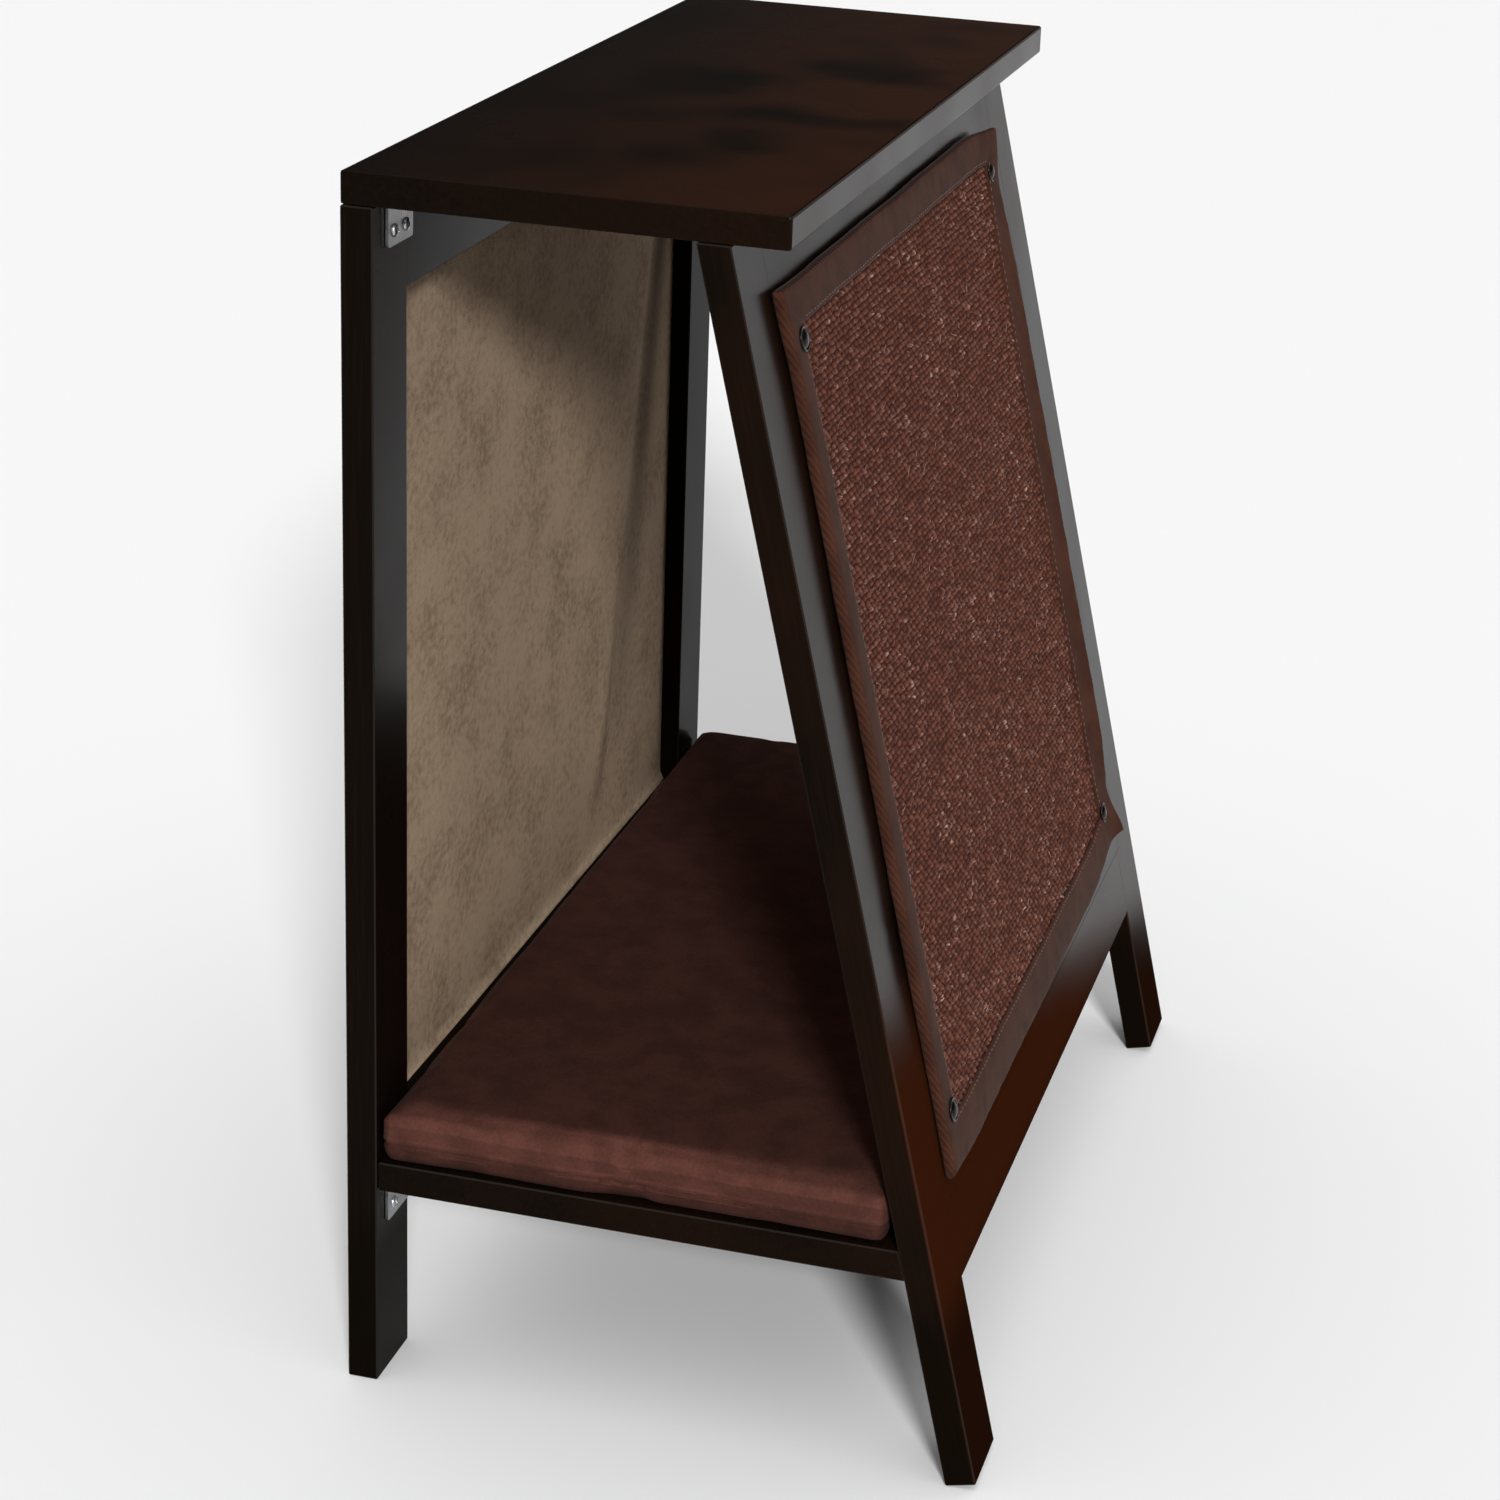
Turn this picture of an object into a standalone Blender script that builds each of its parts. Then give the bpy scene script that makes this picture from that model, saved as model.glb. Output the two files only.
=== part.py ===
"""A-frame pet bed: an upright side, a leaning side, a shelf top, a bed board with its cushion,
and two scratching pads that snap onto the sides. Metres, +Z up, front towards -Y."""
from math import cos, pi, radians, sin, tan

import bmesh
import bpy
from mathutils import Matrix, Vector

# Overall sizes
HEIGHT = 0.635
DEPTH = 0.540
TOP_WIDTH = 0.215
TOP_OVERHANG = 0.028
LEAN = radians(13.4)
BOARD = 0.016
EDGE_ROUND = 0.0007
TOP_EDGE_ROUND = 0.0014
CLEARANCE = 0.0003

# Side frames: two legs and two rails each
LEG_WIDTH = 0.042
RAIL_HEIGHT = 0.047
BOTTOM_RAIL_LIFT = 0.093
DOWEL_RADIUS = 0.003
DOWEL_LENGTH = 0.030
DOWEL_FROM_WINDOW = 0.008
DOWEL_SPACING = 0.014
DOWEL_CHAMFER = 0.0007

# Thin panel in each side, set in a rebate, and the canvas glued to its inner face
PANEL = 0.003
REBATE = 0.006
LINING = 0.001

# Bed board and cushion
BED_LIFT = 0.110
BED_SETBACK = 0.0015
CUSHION_EDGE = 0.029
CUSHION_CROWN = 0.008
CUSHION_SIDE_GAP = 0.0012
CUSHION_END_GAP = 0.003
CUSHION_DRAW_IN = 0.004
CUSHION_CORNER = 0.010
CUSHION_SEAM_DEPTH = 0.0016

# Cushion form: the cage's cuts along x, y and z, and the powers that shape its crown and its corners
CUSHION_CUTS = (5, 9, 3)
CROWN_ACROSS_POWER = 4
CROWN_ALONG_POWER = 6
CROWN_FALL_POWER = 0.6
CORNER_POWER = 12
CAGE_TOLERANCE = 0.01

# Scratching pads
PAD_FRONT_MARGIN = 0.044
PAD_REAR_MARGIN = 0.074
PAD_DROP = 0.032
PAD_OVER_RAIL = 0.009
PAD_STANDOFF = 0.002
SISAL = 0.0040
BINDING_WALL = 0.0009
BINDING_BAND = 0.020
BINDING_FOOT_BAND = 0.027
BINDING_ROUND = 0.0014

# Snap fasteners
SNAP_FROM_SIDE = 0.0125
SNAP_FROM_TOP = 0.026
SNAP_FROM_FOOT = 0.033
SNAP_RIM = 0.0063
SNAP_DOME = 0.0023
SNAP_BARREL = 0.0036
SNAP_BORE = 0.0030
SNAP_BORE_DEPTH = 0.0034
SNAP_FLANGE = 0.0056
SNAP_SHEET = 0.0005
STUD_FLANGE = 0.0048
STUD_SHEET = 0.0006
STUD_NECK = 0.0017
STUD_HEAD = 0.0026
STUD_REACH = 0.0042

# Outlines of the turned heads, from the middle outwards: share of the radius, share of the height
SNAP_CAP_OUTLINE = ((0, 1), (0.36, 0.93), (0.66, 0.68), (0.78, 0.40), (0.84, 0.50), (0.96, 0.44), (1, 0.16), (0.96, 0))
STUD_HEAD_OUTLINE = ((0, 0), (0.6, 0.15), (1, 0.55))
STUD_NECK_SHARE = 0.95

# Corner brackets and their screws
BRACKET_LENGTH = 0.030
BRACKET_LEG = 0.022
BRACKET_SHEET = 0.0016
BRACKET_BEND = 0.0026
TOP_BRACKET_SETBACK = 0.015
BED_BRACKET_SETBACK = 0.011
SCREW_PITCH = 0.014
SCREW_FROM_BEND = 0.0150
SCREW_RADIUS = 0.0016
SCREW_LENGTH = 0.0105
SCREW_HEAD = 0.0033
SCREW_HEAD_HEIGHT = 0.0015

# How many sides round pieces and bends have, how far cutters pass a face, and which edges are bevelled
SNAP_STEPS = 14
STUD_STEPS = 12
HEAD_STEPS = 12
DOWEL_STEPS = 10
SHANK_STEPS = 8
BEND_STEPS = 3
CUT_MARGIN = 0.003
BEVEL_ANGLE = radians(30)
MERGE_DISTANCE = 0.00001

# Worked out from the sizes above. A leaning leg stands on the bevelled inner edge of its foot,
# and both pads have the height that laps the upright side's bottom rail
TOP_UNDERSIDE = HEIGHT - BOARD
PAD_HEIGHT = TOP_UNDERSIDE - BOTTOM_RAIL_LIFT - RAIL_HEIGHT - PAD_DROP + PAD_OVER_RAIL
PAD_THICKNESS = SISAL + 2 * (BINDING_WALL + CLEARANCE)
PAD_FACE = PAD_STANDOFF + PAD_THICKNESS
LEFT_REACH = PAD_FACE + CLEARANCE + SNAP_DOME
LEANING_LENGTH = (TOP_UNDERSIDE - (BOARD - EDGE_ROUND) * sin(LEAN)) / cos(LEAN)
RIGHT_REACH = TOP_WIDTH - TOP_OVERHANG + LEANING_LENGTH * sin(LEAN)
LEFT_FACE = (LEFT_REACH - RIGHT_REACH) / 2
FRONT = -DEPTH / 2


class Side:
    """One side frame. Its own axes: x out of the outer face times `out`, y back from the front, z up the side."""

    def __init__(self, name, out, lean, face_x, length):
        self.name = name
        self.out = out
        self.lean = lean
        self.length = length
        self.empty = bpy.data.objects.new(name + "_side", None)
        self.empty.location = (face_x, FRONT, TOP_UNDERSIDE)
        self.empty.rotation_euler = (0, -lean, 0)
        ASSEMBLY.objects.link(self.empty)

    def point(self, outward, back, down):
        """A point of the side's own axes, from how far out, back and down it is."""
        return Vector((self.out * outward, back, -down))

    def box(self, name, outward, back, down, finish, bevel=EDGE_ROUND):
        """A box between pairs of distances, parented to the side."""
        low = self.point(outward[0], back[0], down[1])
        high = self.point(outward[1], back[1], down[0])
        obj = box_between(name, low, high, finish, bevel)
        obj.parent = self.empty
        return obj


def collection(name):
    made = bpy.data.collections.new(name)
    bpy.context.scene.collection.children.link(made)
    return made


def material(name, colour, roughness, metallic=0.0):
    made = bpy.data.materials.new(name)
    made.use_nodes = True
    shader = made.node_tree.nodes["Principled BSDF"]
    shader.inputs["Base Color"].default_value = (*colour, 1.0)
    shader.inputs["Roughness"].default_value = roughness
    shader.inputs["Metallic"].default_value = metallic
    return made


def add_object(name, bm, finish, group=None):
    """Turns a bmesh into an object of the assembly, or of another collection."""
    mesh = bpy.data.meshes.new(name)
    bm.to_mesh(mesh)
    bm.free()
    obj = bpy.data.objects.new(name, mesh)
    if finish:
        mesh.materials.append(finish)
    (group or ASSEMBLY).objects.link(obj)
    return obj


def hide_cutter(obj):
    obj.hide_render = True
    obj.display_type = "WIRE"
    return obj


def add_box(bm, low, high):
    """Adds a box between two corners to a bmesh."""
    size = [abs(b - a) for a, b in zip(low, high)]
    middle = [(a + b) / 2 for a, b in zip(low, high)]
    bmesh.ops.create_cube(bm, size=1.0, matrix=Matrix.Translation(middle) @ Matrix.Diagonal((*size, 1)))


def box_mesh(low, high):
    bm = bmesh.new()
    add_box(bm, low, high)
    return bm


def add_bevel(obj, width, segments=1):
    bevel = obj.modifiers.new("Rounded edges", "BEVEL")
    bevel.width = width
    bevel.segments = segments
    bevel.limit_method = "ANGLE"
    bevel.angle_limit = BEVEL_ANGLE


def box_between(name, low, high, finish, bevel=EDGE_ROUND):
    obj = add_object(name, box_mesh(low, high), finish)
    if bevel:
        add_bevel(obj, bevel)
    return obj


def cut(obj, cutter):
    boolean = obj.modifiers.new("Cut " + cutter.name, "BOOLEAN")
    boolean.operation = "DIFFERENCE"
    boolean.solver = "EXACT"
    boolean.object = cutter


def trim(obj, point, normal):
    """Cuts a mesh at a plane and closes it, keeping what lies behind the normal."""
    bm = bmesh.new()
    bm.from_mesh(obj.data)
    geometry = bm.verts[:] + bm.edges[:] + bm.faces[:]
    bmesh.ops.bisect_plane(bm, geom=geometry, plane_co=point, plane_no=normal, clear_outer=True)
    bmesh.ops.holes_fill(bm, edges=bm.edges)
    bm.to_mesh(obj.data)
    bm.free()


def add_cylinder(bm, radius, start, end, segments):
    """Adds a closed cylinder between two points to a bmesh."""
    axis = Vector(end) - Vector(start)
    turn = axis.to_track_quat("Z", "Y").to_matrix().to_4x4()
    place = Matrix.Translation((Vector(start) + Vector(end)) / 2) @ turn
    bmesh.ops.create_cone(
        bm, cap_ends=True, segments=segments, radius1=radius, radius2=radius, depth=axis.length, matrix=place
    )


def turned(name, profile, steps, finish):
    """A turned solid about its own Z, from a closed profile of (radius, height) that runs down its outer side."""
    bm = bmesh.new()
    points = [bm.verts.new((radius, 0.0, height)) for radius, height in profile]
    for first, second in zip(points, points[1:]):
        bm.edges.new((first, second))
    obj = add_object(name, bm, finish)
    screw = obj.modifiers.new("Turned", "SCREW")
    screw.steps = steps
    screw.render_steps = steps
    screw.use_merge_vertices = True
    screw.merge_threshold = MERGE_DISTANCE
    screw.use_smooth_shade = True
    return obj


def rail_spans(side):
    """Where the top and the bottom rail lie down the side, as (top edge, bottom edge)."""
    bottom_edge = side.length - BOTTOM_RAIL_LIFT
    return {
        "top": (CLEARANCE, RAIL_HEIGHT),
        "bottom": (bottom_edge - RAIL_HEIGHT, bottom_edge),
    }


def window_span(side):
    """The open height between the rails, as distances down the side."""
    spans = rail_spans(side)
    return spans["top"][1], spans["bottom"][0]


def dowel_places(side):
    """Each dowel as (name, point in its middle): two at each end of each rail, across the joint."""
    upper, lower = window_span(side)
    for rail, edge, away in (("top", upper, -1), ("bottom", lower, 1)):
        for end, back in (("front", LEG_WIDTH), ("rear", DEPTH - LEG_WIDTH)):
            for label, distance in (("inner", DOWEL_FROM_WINDOW), ("outer", DOWEL_FROM_WINDOW + DOWEL_SPACING)):
                place = side.point(-BOARD / 2, back, edge + away * distance)
                yield f"{side.name}_{rail}_{end}_{label}_dowel", place


def snap_places(side):
    """Each snap fastener as (name, back, down), near the four corners of the pad."""
    pad_top = PAD_DROP
    pad_bottom = PAD_DROP + PAD_HEIGHT
    for level, down in (("upper", pad_top + SNAP_FROM_TOP), ("lower", pad_bottom - SNAP_FROM_FOOT)):
        for end, back in (
            ("front", PAD_FRONT_MARGIN + SNAP_FROM_SIDE),
            ("rear", DEPTH - PAD_REAR_MARGIN - SNAP_FROM_SIDE),
        ):
            yield f"{side.name}_{level}_{end}", back, down


def bracket_seats():
    """Each bracket as (name, side, height of the board's underside, how far back its front end is)."""
    for side in SIDES:
        for board, underside, setback in (
            ("top", TOP_UNDERSIDE, TOP_BRACKET_SETBACK),
            ("bed", BED_LIFT, BED_BRACKET_SETBACK),
        ):
            yield f"{side.name}_{board}_front_bracket", side, underside, setback
            yield f"{side.name}_{board}_rear_bracket", side, underside, DEPTH - setback - BRACKET_LENGTH


def inner_face_x(side, height):
    """World X of a side's inner face at a height."""
    start = side.empty.location
    across = side.out * -BOARD / cos(side.lean)
    return start.x + across + (start.z - height) * tan(side.lean)


def build_side_cutters(side):
    """Cutters for a side: the panel's rebate, the dowel holes, and the square ends of the rails."""
    upper, lower = window_span(side)
    low = side.point(CUT_MARGIN, LEG_WIDTH - REBATE, lower + REBATE)
    high = side.point(-PANEL - CLEARANCE, DEPTH - LEG_WIDTH + REBATE, upper - REBATE)
    rebate = hide_cutter(add_object(side.name + "_rebate_cutter", box_mesh(low, high), None, CUTTERS))
    holes = bmesh.new()
    half = Vector((0, DOWEL_LENGTH / 2 + CLEARANCE, 0))
    for _, middle in dowel_places(side):
        add_cylinder(holes, DOWEL_RADIUS + CLEARANCE, middle - half, middle + half, DOWEL_STEPS)
    drilled = hide_cutter(add_object(side.name + "_dowel_cutter", holes, None, CUTTERS))
    ends = bmesh.new()
    for nearer, further in ((-CUT_MARGIN, LEG_WIDTH + CLEARANCE), (DEPTH - LEG_WIDTH - CLEARANCE, DEPTH + CUT_MARGIN)):
        low = side.point(CUT_MARGIN, nearer, side.length + CUT_MARGIN)
        high = side.point(-BOARD - CUT_MARGIN, further, -BOARD)
        add_box(ends, low, high)
    squared = hide_cutter(add_object(side.name + "_rail_end_cutter", ends, None, CUTTERS))
    for cutter in (rebate, drilled, squared):
        cutter.parent = side.empty
    return rebate, drilled, squared


def screw_lines(side, underside, setback):
    """The screws of one bracket in world axes, as (point on the bracket's seat, direction into the wood)."""
    seat = Vector((inner_face_x(side, underside), 0, underside))
    down = Vector((sin(side.lean), 0, -cos(side.lean)))
    outward = Vector((side.out * cos(side.lean), 0, side.out * sin(side.lean)))
    for offset in (-SCREW_PITCH / 2, SCREW_PITCH / 2):
        back = Vector((0, FRONT + setback + BRACKET_LENGTH / 2 + offset, 0))
        yield seat + down * SCREW_FROM_BEND + back, outward
        yield seat + Vector((-side.out * SCREW_FROM_BEND, 0, 0)) + back, Vector((0, 0, 1))


def build_screw_cutter():
    """One cutter with the holes of every bracket screw."""
    bm = bmesh.new()
    for _, side, underside, setback in bracket_seats():
        for seat, direction in screw_lines(side, underside, setback):
            start = seat - direction * SCREW_RADIUS
            end = seat + direction * (SCREW_LENGTH + 2 * CLEARANCE)
            add_cylinder(bm, SCREW_RADIUS + CLEARANCE, start, end, SHANK_STEPS)
    return hide_cutter(add_object("screw_hole_cutter", bm, None, CUTTERS))


def build_frame(side, screw_cutter):
    """Two legs and two rails, joined by dowels. A rail's edges are eased before its ends are cut square."""
    rebate, drilled, squared = build_side_cutters(side)
    boards = []
    extra = BOARD * tan(LEAN) + CLEARANCE
    for end, back in (("front", (0, LEG_WIDTH)), ("rear", (DEPTH - LEG_WIDTH, DEPTH))):
        leg = side.box(
            f"{side.name}_{end}_leg", (-BOARD, 0), back, (-extra, side.length), WOOD, bevel=None
        )
        boards.append(leg)
    for level, span in rail_spans(side).items():
        top = span[0] - extra if level == "top" else span[0]
        back = (LEG_WIDTH - CUT_MARGIN, DEPTH - LEG_WIDTH + CUT_MARGIN)
        rail = side.box(f"{side.name}_{level}_rail", (-BOARD, 0), back, (top, span[1]), WOOD, bevel=None)
        boards.append(rail)
    ceiling = Vector((0, 0, -CLEARANCE / cos(side.lean)))
    upward = Vector((sin(side.lean), 0, cos(side.lean)))
    for board in boards:
        if "bottom" not in board.name:
            trim(board, ceiling, upward)
        add_bevel(board, EDGE_ROUND)
        if "rail" in board.name:
            cut(board, squared)
        cut(board, rebate)
        cut(board, drilled)
        cut(board, screw_cutter)


def build_dowels(side):
    for name, middle in dowel_places(side):
        half = Vector((0, DOWEL_LENGTH / 2 - CLEARANCE, 0))
        bm = bmesh.new()
        add_cylinder(bm, DOWEL_RADIUS, middle - half, middle + half, DOWEL_STEPS)
        dowel = add_object(name, bm, DOWEL_WOOD)
        dowel.parent = side.empty
        add_bevel(dowel, DOWEL_CHAMFER)


def build_panel(side):
    """The thin panel in its rebate, bored for the studs, and the canvas on its inner face."""
    upper, lower = window_span(side)
    edge = REBATE - CLEARANCE
    panel = side.box(
        side.name + "_side_panel",
        (-PANEL, 0),
        (LEG_WIDTH - edge, DEPTH - LEG_WIDTH + edge),
        (upper - edge, lower + edge),
        WOOD,
        bevel=None,
    )
    for use, radius, reach in (
        ("bore", STUD_NECK, CUT_MARGIN),
        ("pocket", STUD_FLANGE, -PANEL + STUD_SHEET + CLEARANCE),
    ):
        holes = bmesh.new()
        for _, back, down in snap_places(side):
            start = side.point(-PANEL - CUT_MARGIN, back, down)
            add_cylinder(holes, radius + CLEARANCE, start, side.point(reach, back, down), STUD_STEPS)
        cutter = hide_cutter(add_object(f"{side.name}_stud_{use}_cutter", holes, None, CUTTERS))
        cutter.parent = side.empty
        cut(panel, cutter)
    inner = -PANEL - CLEARANCE
    side.box(
        side.name + "_canvas_lining",
        (inner - LINING, inner),
        (LEG_WIDTH + CLEARANCE, DEPTH - LEG_WIDTH - CLEARANCE),
        (upper + CLEARANCE, lower - CLEARANCE),
        CANVAS,
        bevel=None,
    )


def place_turned(obj, side, back, down):
    """Puts a turned piece on the side's outer face, its own Z pointing out."""
    obj.parent = side.empty
    obj.location = side.point(0, back, down)
    obj.rotation_euler = (0, side.out * pi / 2, 0)


def build_studs(side):
    """The four studs that are riveted to a side panel."""
    back_face = -PANEL
    profile = [(STUD_HEAD * out, STUD_REACH - STUD_HEAD * drop) for out, drop in STUD_HEAD_OUTLINE]
    profile += [
        (STUD_NECK, STUD_REACH - STUD_HEAD * STUD_NECK_SHARE),
        (STUD_NECK, CLEARANCE + STUD_SHEET),
        (STUD_FLANGE, CLEARANCE + STUD_SHEET),
        (STUD_FLANGE, CLEARANCE),
        (STUD_NECK, CLEARANCE),
        (STUD_NECK, back_face + STUD_SHEET),
        (STUD_FLANGE, back_face + STUD_SHEET),
        (STUD_FLANGE, back_face),
        (0, back_face),
    ]
    for name, back, down in snap_places(side):
        place_turned(turned(name + "_stud", profile, STUD_STEPS, NICKEL), side, back, down)


def build_snap_caps(side):
    """The four caps riveted through a pad: a domed cap with a rim, a barrel and a socket behind."""
    socket_back = PAD_STANDOFF - CLEARANCE - SNAP_SHEET
    socket_front = PAD_STANDOFF - CLEARANCE
    face = PAD_FACE + CLEARANCE
    profile = [(SNAP_RIM * out, face + SNAP_DOME * up) for out, up in SNAP_CAP_OUTLINE]
    profile += [
        (SNAP_BARREL, face),
        (SNAP_BARREL, socket_front),
        (SNAP_FLANGE, socket_front),
        (SNAP_FLANGE, socket_back),
        (SNAP_BORE, socket_back),
        (SNAP_BORE, socket_back + SNAP_BORE_DEPTH),
        (0, socket_back + SNAP_BORE_DEPTH),
    ]
    for name, back, down in snap_places(side):
        place_turned(turned(name + "_snap_cap", profile, SNAP_STEPS, BLACK_NICKEL), side, back, down)


def build_pad(side):
    """A sisal mat whose edges sit in a fabric binding with a C-shaped section."""
    backs = (PAD_FRONT_MARGIN, DEPTH - PAD_REAR_MARGIN)
    downs = (PAD_DROP, PAD_DROP + PAD_HEIGHT)
    holes = bmesh.new()
    for _, back, down in snap_places(side):
        start = side.point(0, back, down)
        end = side.point(PAD_FACE + CUT_MARGIN, back, down)
        add_cylinder(holes, SNAP_BARREL + CLEARANCE, start, end, SNAP_STEPS)
    hole_cutter = hide_cutter(add_object(side.name + "_pad_hole_cutter", holes, None, CUTTERS))
    hole_cutter.parent = side.empty

    sisal_inset = BINDING_WALL + CLEARANCE
    back_of_mat = PAD_STANDOFF + sisal_inset
    mat = side.box(
        side.name + "_pad_sisal_mat",
        (back_of_mat, back_of_mat + SISAL),
        (backs[0] + sisal_inset, backs[1] - sisal_inset),
        (downs[0] + sisal_inset, downs[1] - sisal_inset),
        SISAL_FIBRE,
        bevel=None,
    )
    cut(mat, hole_cutter)

    binding = side.box(side.name + "_pad_binding", (PAD_STANDOFF, PAD_FACE), backs, downs, SUEDE, bevel=None)
    add_bevel(binding, BINDING_ROUND, segments=2)
    slot_low = side.point(PAD_STANDOFF + BINDING_WALL, backs[0] + BINDING_WALL, downs[1] - BINDING_WALL)
    slot_high = side.point(PAD_FACE - BINDING_WALL, backs[1] - BINDING_WALL, downs[0] + BINDING_WALL)
    slot = add_object(side.name + "_binding_slot_cutter", box_mesh(slot_low, slot_high), None, CUTTERS)
    open_low = side.point(0, backs[0] + BINDING_BAND, downs[1] - BINDING_FOOT_BAND)
    open_high = side.point(PAD_FACE + CUT_MARGIN, backs[1] - BINDING_BAND, downs[0] + BINDING_BAND)
    opening = add_object(side.name + "_binding_face_cutter", box_mesh(open_low, open_high), None, CUTTERS)
    for tool in (slot, opening):
        hide_cutter(tool).parent = side.empty
    cut(binding, opening)
    cut(binding, slot)
    cut(binding, hole_cutter)


def build_tabletop(screw_cutter):
    low = (LEFT_FACE, FRONT, TOP_UNDERSIDE)
    high = (LEFT_FACE + TOP_WIDTH, -FRONT, HEIGHT)
    top = box_between("tabletop", low, high, WOOD, bevel=None)
    add_bevel(top, TOP_EDGE_ROUND, segments=2)
    cut(top, screw_cutter)


def build_bed_board(screw_cutter):
    """The board under the cushion: its right end is cut to the lean of the side that it meets."""
    left, right = SIDES
    start = inner_face_x(left, BED_LIFT) + CLEARANCE
    reach = inner_face_x(right, 0)
    low = (start, FRONT + BED_SETBACK, BED_LIFT)
    high = (reach, -FRONT - BED_SETBACK, BED_LIFT + BOARD)
    board = box_between("bed_board", low, high, WOOD, bevel=None)
    meets = Vector((inner_face_x(right, BED_LIFT) - CLEARANCE / cos(LEAN), 0, BED_LIFT))
    trim(board, meets, Vector((cos(LEAN), 0, sin(LEAN))))
    add_bevel(board, EDGE_ROUND)
    cut(board, screw_cutter)


def bracket_mesh(side):
    """A bent strip: one leg under a board, a rounded bend, and one leg down the side's inner face."""
    down = Vector((sin(side.lean), 0, -cos(side.lean)))
    across = Vector((-side.out, 0, 0))
    outline = [down * BRACKET_LEG]
    for step in range(BEND_STEPS + 1):
        share = step / BEND_STEPS
        outline.append((down * (1 - share) ** 2 + across * share ** 2) * BRACKET_BEND)
    outline.append(across * BRACKET_LEG)
    bm = bmesh.new()
    edges = []
    verts = [bm.verts.new(point) for point in outline]
    for first, second in zip(verts, verts[1:]):
        edges.append(bm.edges.new((first, second)))
    strip = bmesh.ops.extrude_edge_only(bm, edges=edges)["geom"]
    moved = [item for item in strip if isinstance(item, bmesh.types.BMVert)]
    bmesh.ops.translate(bm, vec=(0, BRACKET_LENGTH, 0), verts=moved)
    return bm


def screw_mesh(seat, direction):
    """A pan head screw that stands on the bracket's sheet, with its shank in the wood."""
    bm = bmesh.new()
    middle_of_sheet = seat - direction * BRACKET_SHEET / 2
    head_top = seat - direction * (BRACKET_SHEET + SCREW_HEAD_HEIGHT)
    middle_of_head = (middle_of_sheet + head_top) / 2
    add_cylinder(bm, SCREW_HEAD, middle_of_sheet, head_top, HEAD_STEPS)
    add_cylinder(bm, SCREW_RADIUS, middle_of_head, seat + direction * SCREW_LENGTH, SHANK_STEPS)
    return bm


def build_brackets():
    """Eight bent steel brackets, each one solid with its four screws."""
    for name, side, underside, setback in bracket_seats():
        corner_x = inner_face_x(side, underside)
        inward = Vector((-side.out * cos(side.lean), 0, -side.out * sin(side.lean)))
        gap_out = inward * CLEARANCE
        gap_down = Vector((0, 0, -CLEARANCE))
        corner = Vector((corner_x, FRONT + setback, underside)) + gap_out + gap_down
        bracket = add_object(name, bracket_mesh(side), STEEL)
        bracket.location = corner
        sheet = bracket.modifiers.new("Sheet", "SOLIDIFY")
        sheet.thickness = BRACKET_SHEET
        sheet.offset = -side.out
        sheet.use_even_offset = True
        for index, (seat, direction) in enumerate(screw_lines(side, underside, setback)):
            shape = screw_mesh(seat - direction * CLEARANCE - corner, direction)
            screw = hide_cutter(add_object(f"{name}_screw_{index}_joiner", shape, STEEL, CUTTERS))
            screw.parent = bracket
            joined = bracket.modifiers.new("Screw " + str(index), "BOOLEAN")
            joined.operation = "UNION"
            joined.solver = "EXACT"
            joined.use_self = True
            joined.object = screw


def cushion_height(across, along):
    """How much the cushion's top stands above its edge: a crown that falls away to the seams."""
    share = (1 - across ** CROWN_ACROSS_POWER) * (1 - along ** CROWN_ALONG_POWER)
    return CUSHION_CROWN * share ** CROWN_FALL_POWER


def build_cushion():
    """A boxed cushion: crowned top, sides drawn in between the corners, and a seam round its middle."""
    left, right = SIDES
    bottom = BED_LIFT + BOARD + CLEARANCE
    shoulder = bottom + CUSHION_EDGE
    low_x = inner_face_x(left, bottom) + CUSHION_SIDE_GAP
    high_x = inner_face_x(right, shoulder + CUSHION_CROWN / 2) - CUSHION_SIDE_GAP
    half_x = (high_x - low_x) / 2
    half_y = DEPTH / 2 - CUSHION_END_GAP
    bm = bmesh.new()
    bmesh.ops.create_cube(bm, size=2.0)
    for axis, cuts in enumerate(CUSHION_CUTS):
        edges = [edge for edge in bm.edges if abs(edge.verts[0].co[axis] - edge.verts[1].co[axis]) > 1]
        bmesh.ops.subdivide_edges(bm, edges=edges, cuts=cuts, use_grid_fill=True)
    for vert in bm.verts:
        across, along, up = vert.co
        on_side = max(abs(across), abs(along)) > 1 - CAGE_TOLERANCE
        seam = CUSHION_SEAM_DEPTH if on_side and abs(up) < CAGE_TOLERANCE else 0
        drawn_x = CUSHION_DRAW_IN * (1 - along ** 2) + CUSHION_CORNER * along ** CORNER_POWER + seam
        drawn_y = CUSHION_DRAW_IN * (1 - across ** 2) + CUSHION_CORNER * across ** CORNER_POWER + seam
        vert.co = (across * (half_x - drawn_x), along * (half_y - drawn_y), up * CUSHION_EDGE / 2)
        if up > 1 - CAGE_TOLERANCE:
            vert.co.z += cushion_height(across, along)
    cushion = add_object("bed_cushion", bm, SUEDE)
    cushion.location = ((low_x + high_x) / 2, 0, bottom + CUSHION_EDGE / 2)
    soft = cushion.modifiers.new("Soft", "SUBSURF")
    soft.levels = 1
    soft.render_levels = 1
    cushion.data.shade_smooth()


for old in list(bpy.data.objects):
    bpy.data.objects.remove(old)

ASSEMBLY = collection("a_frame_pet_bed")
CUTTERS = collection("cutters")

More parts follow.
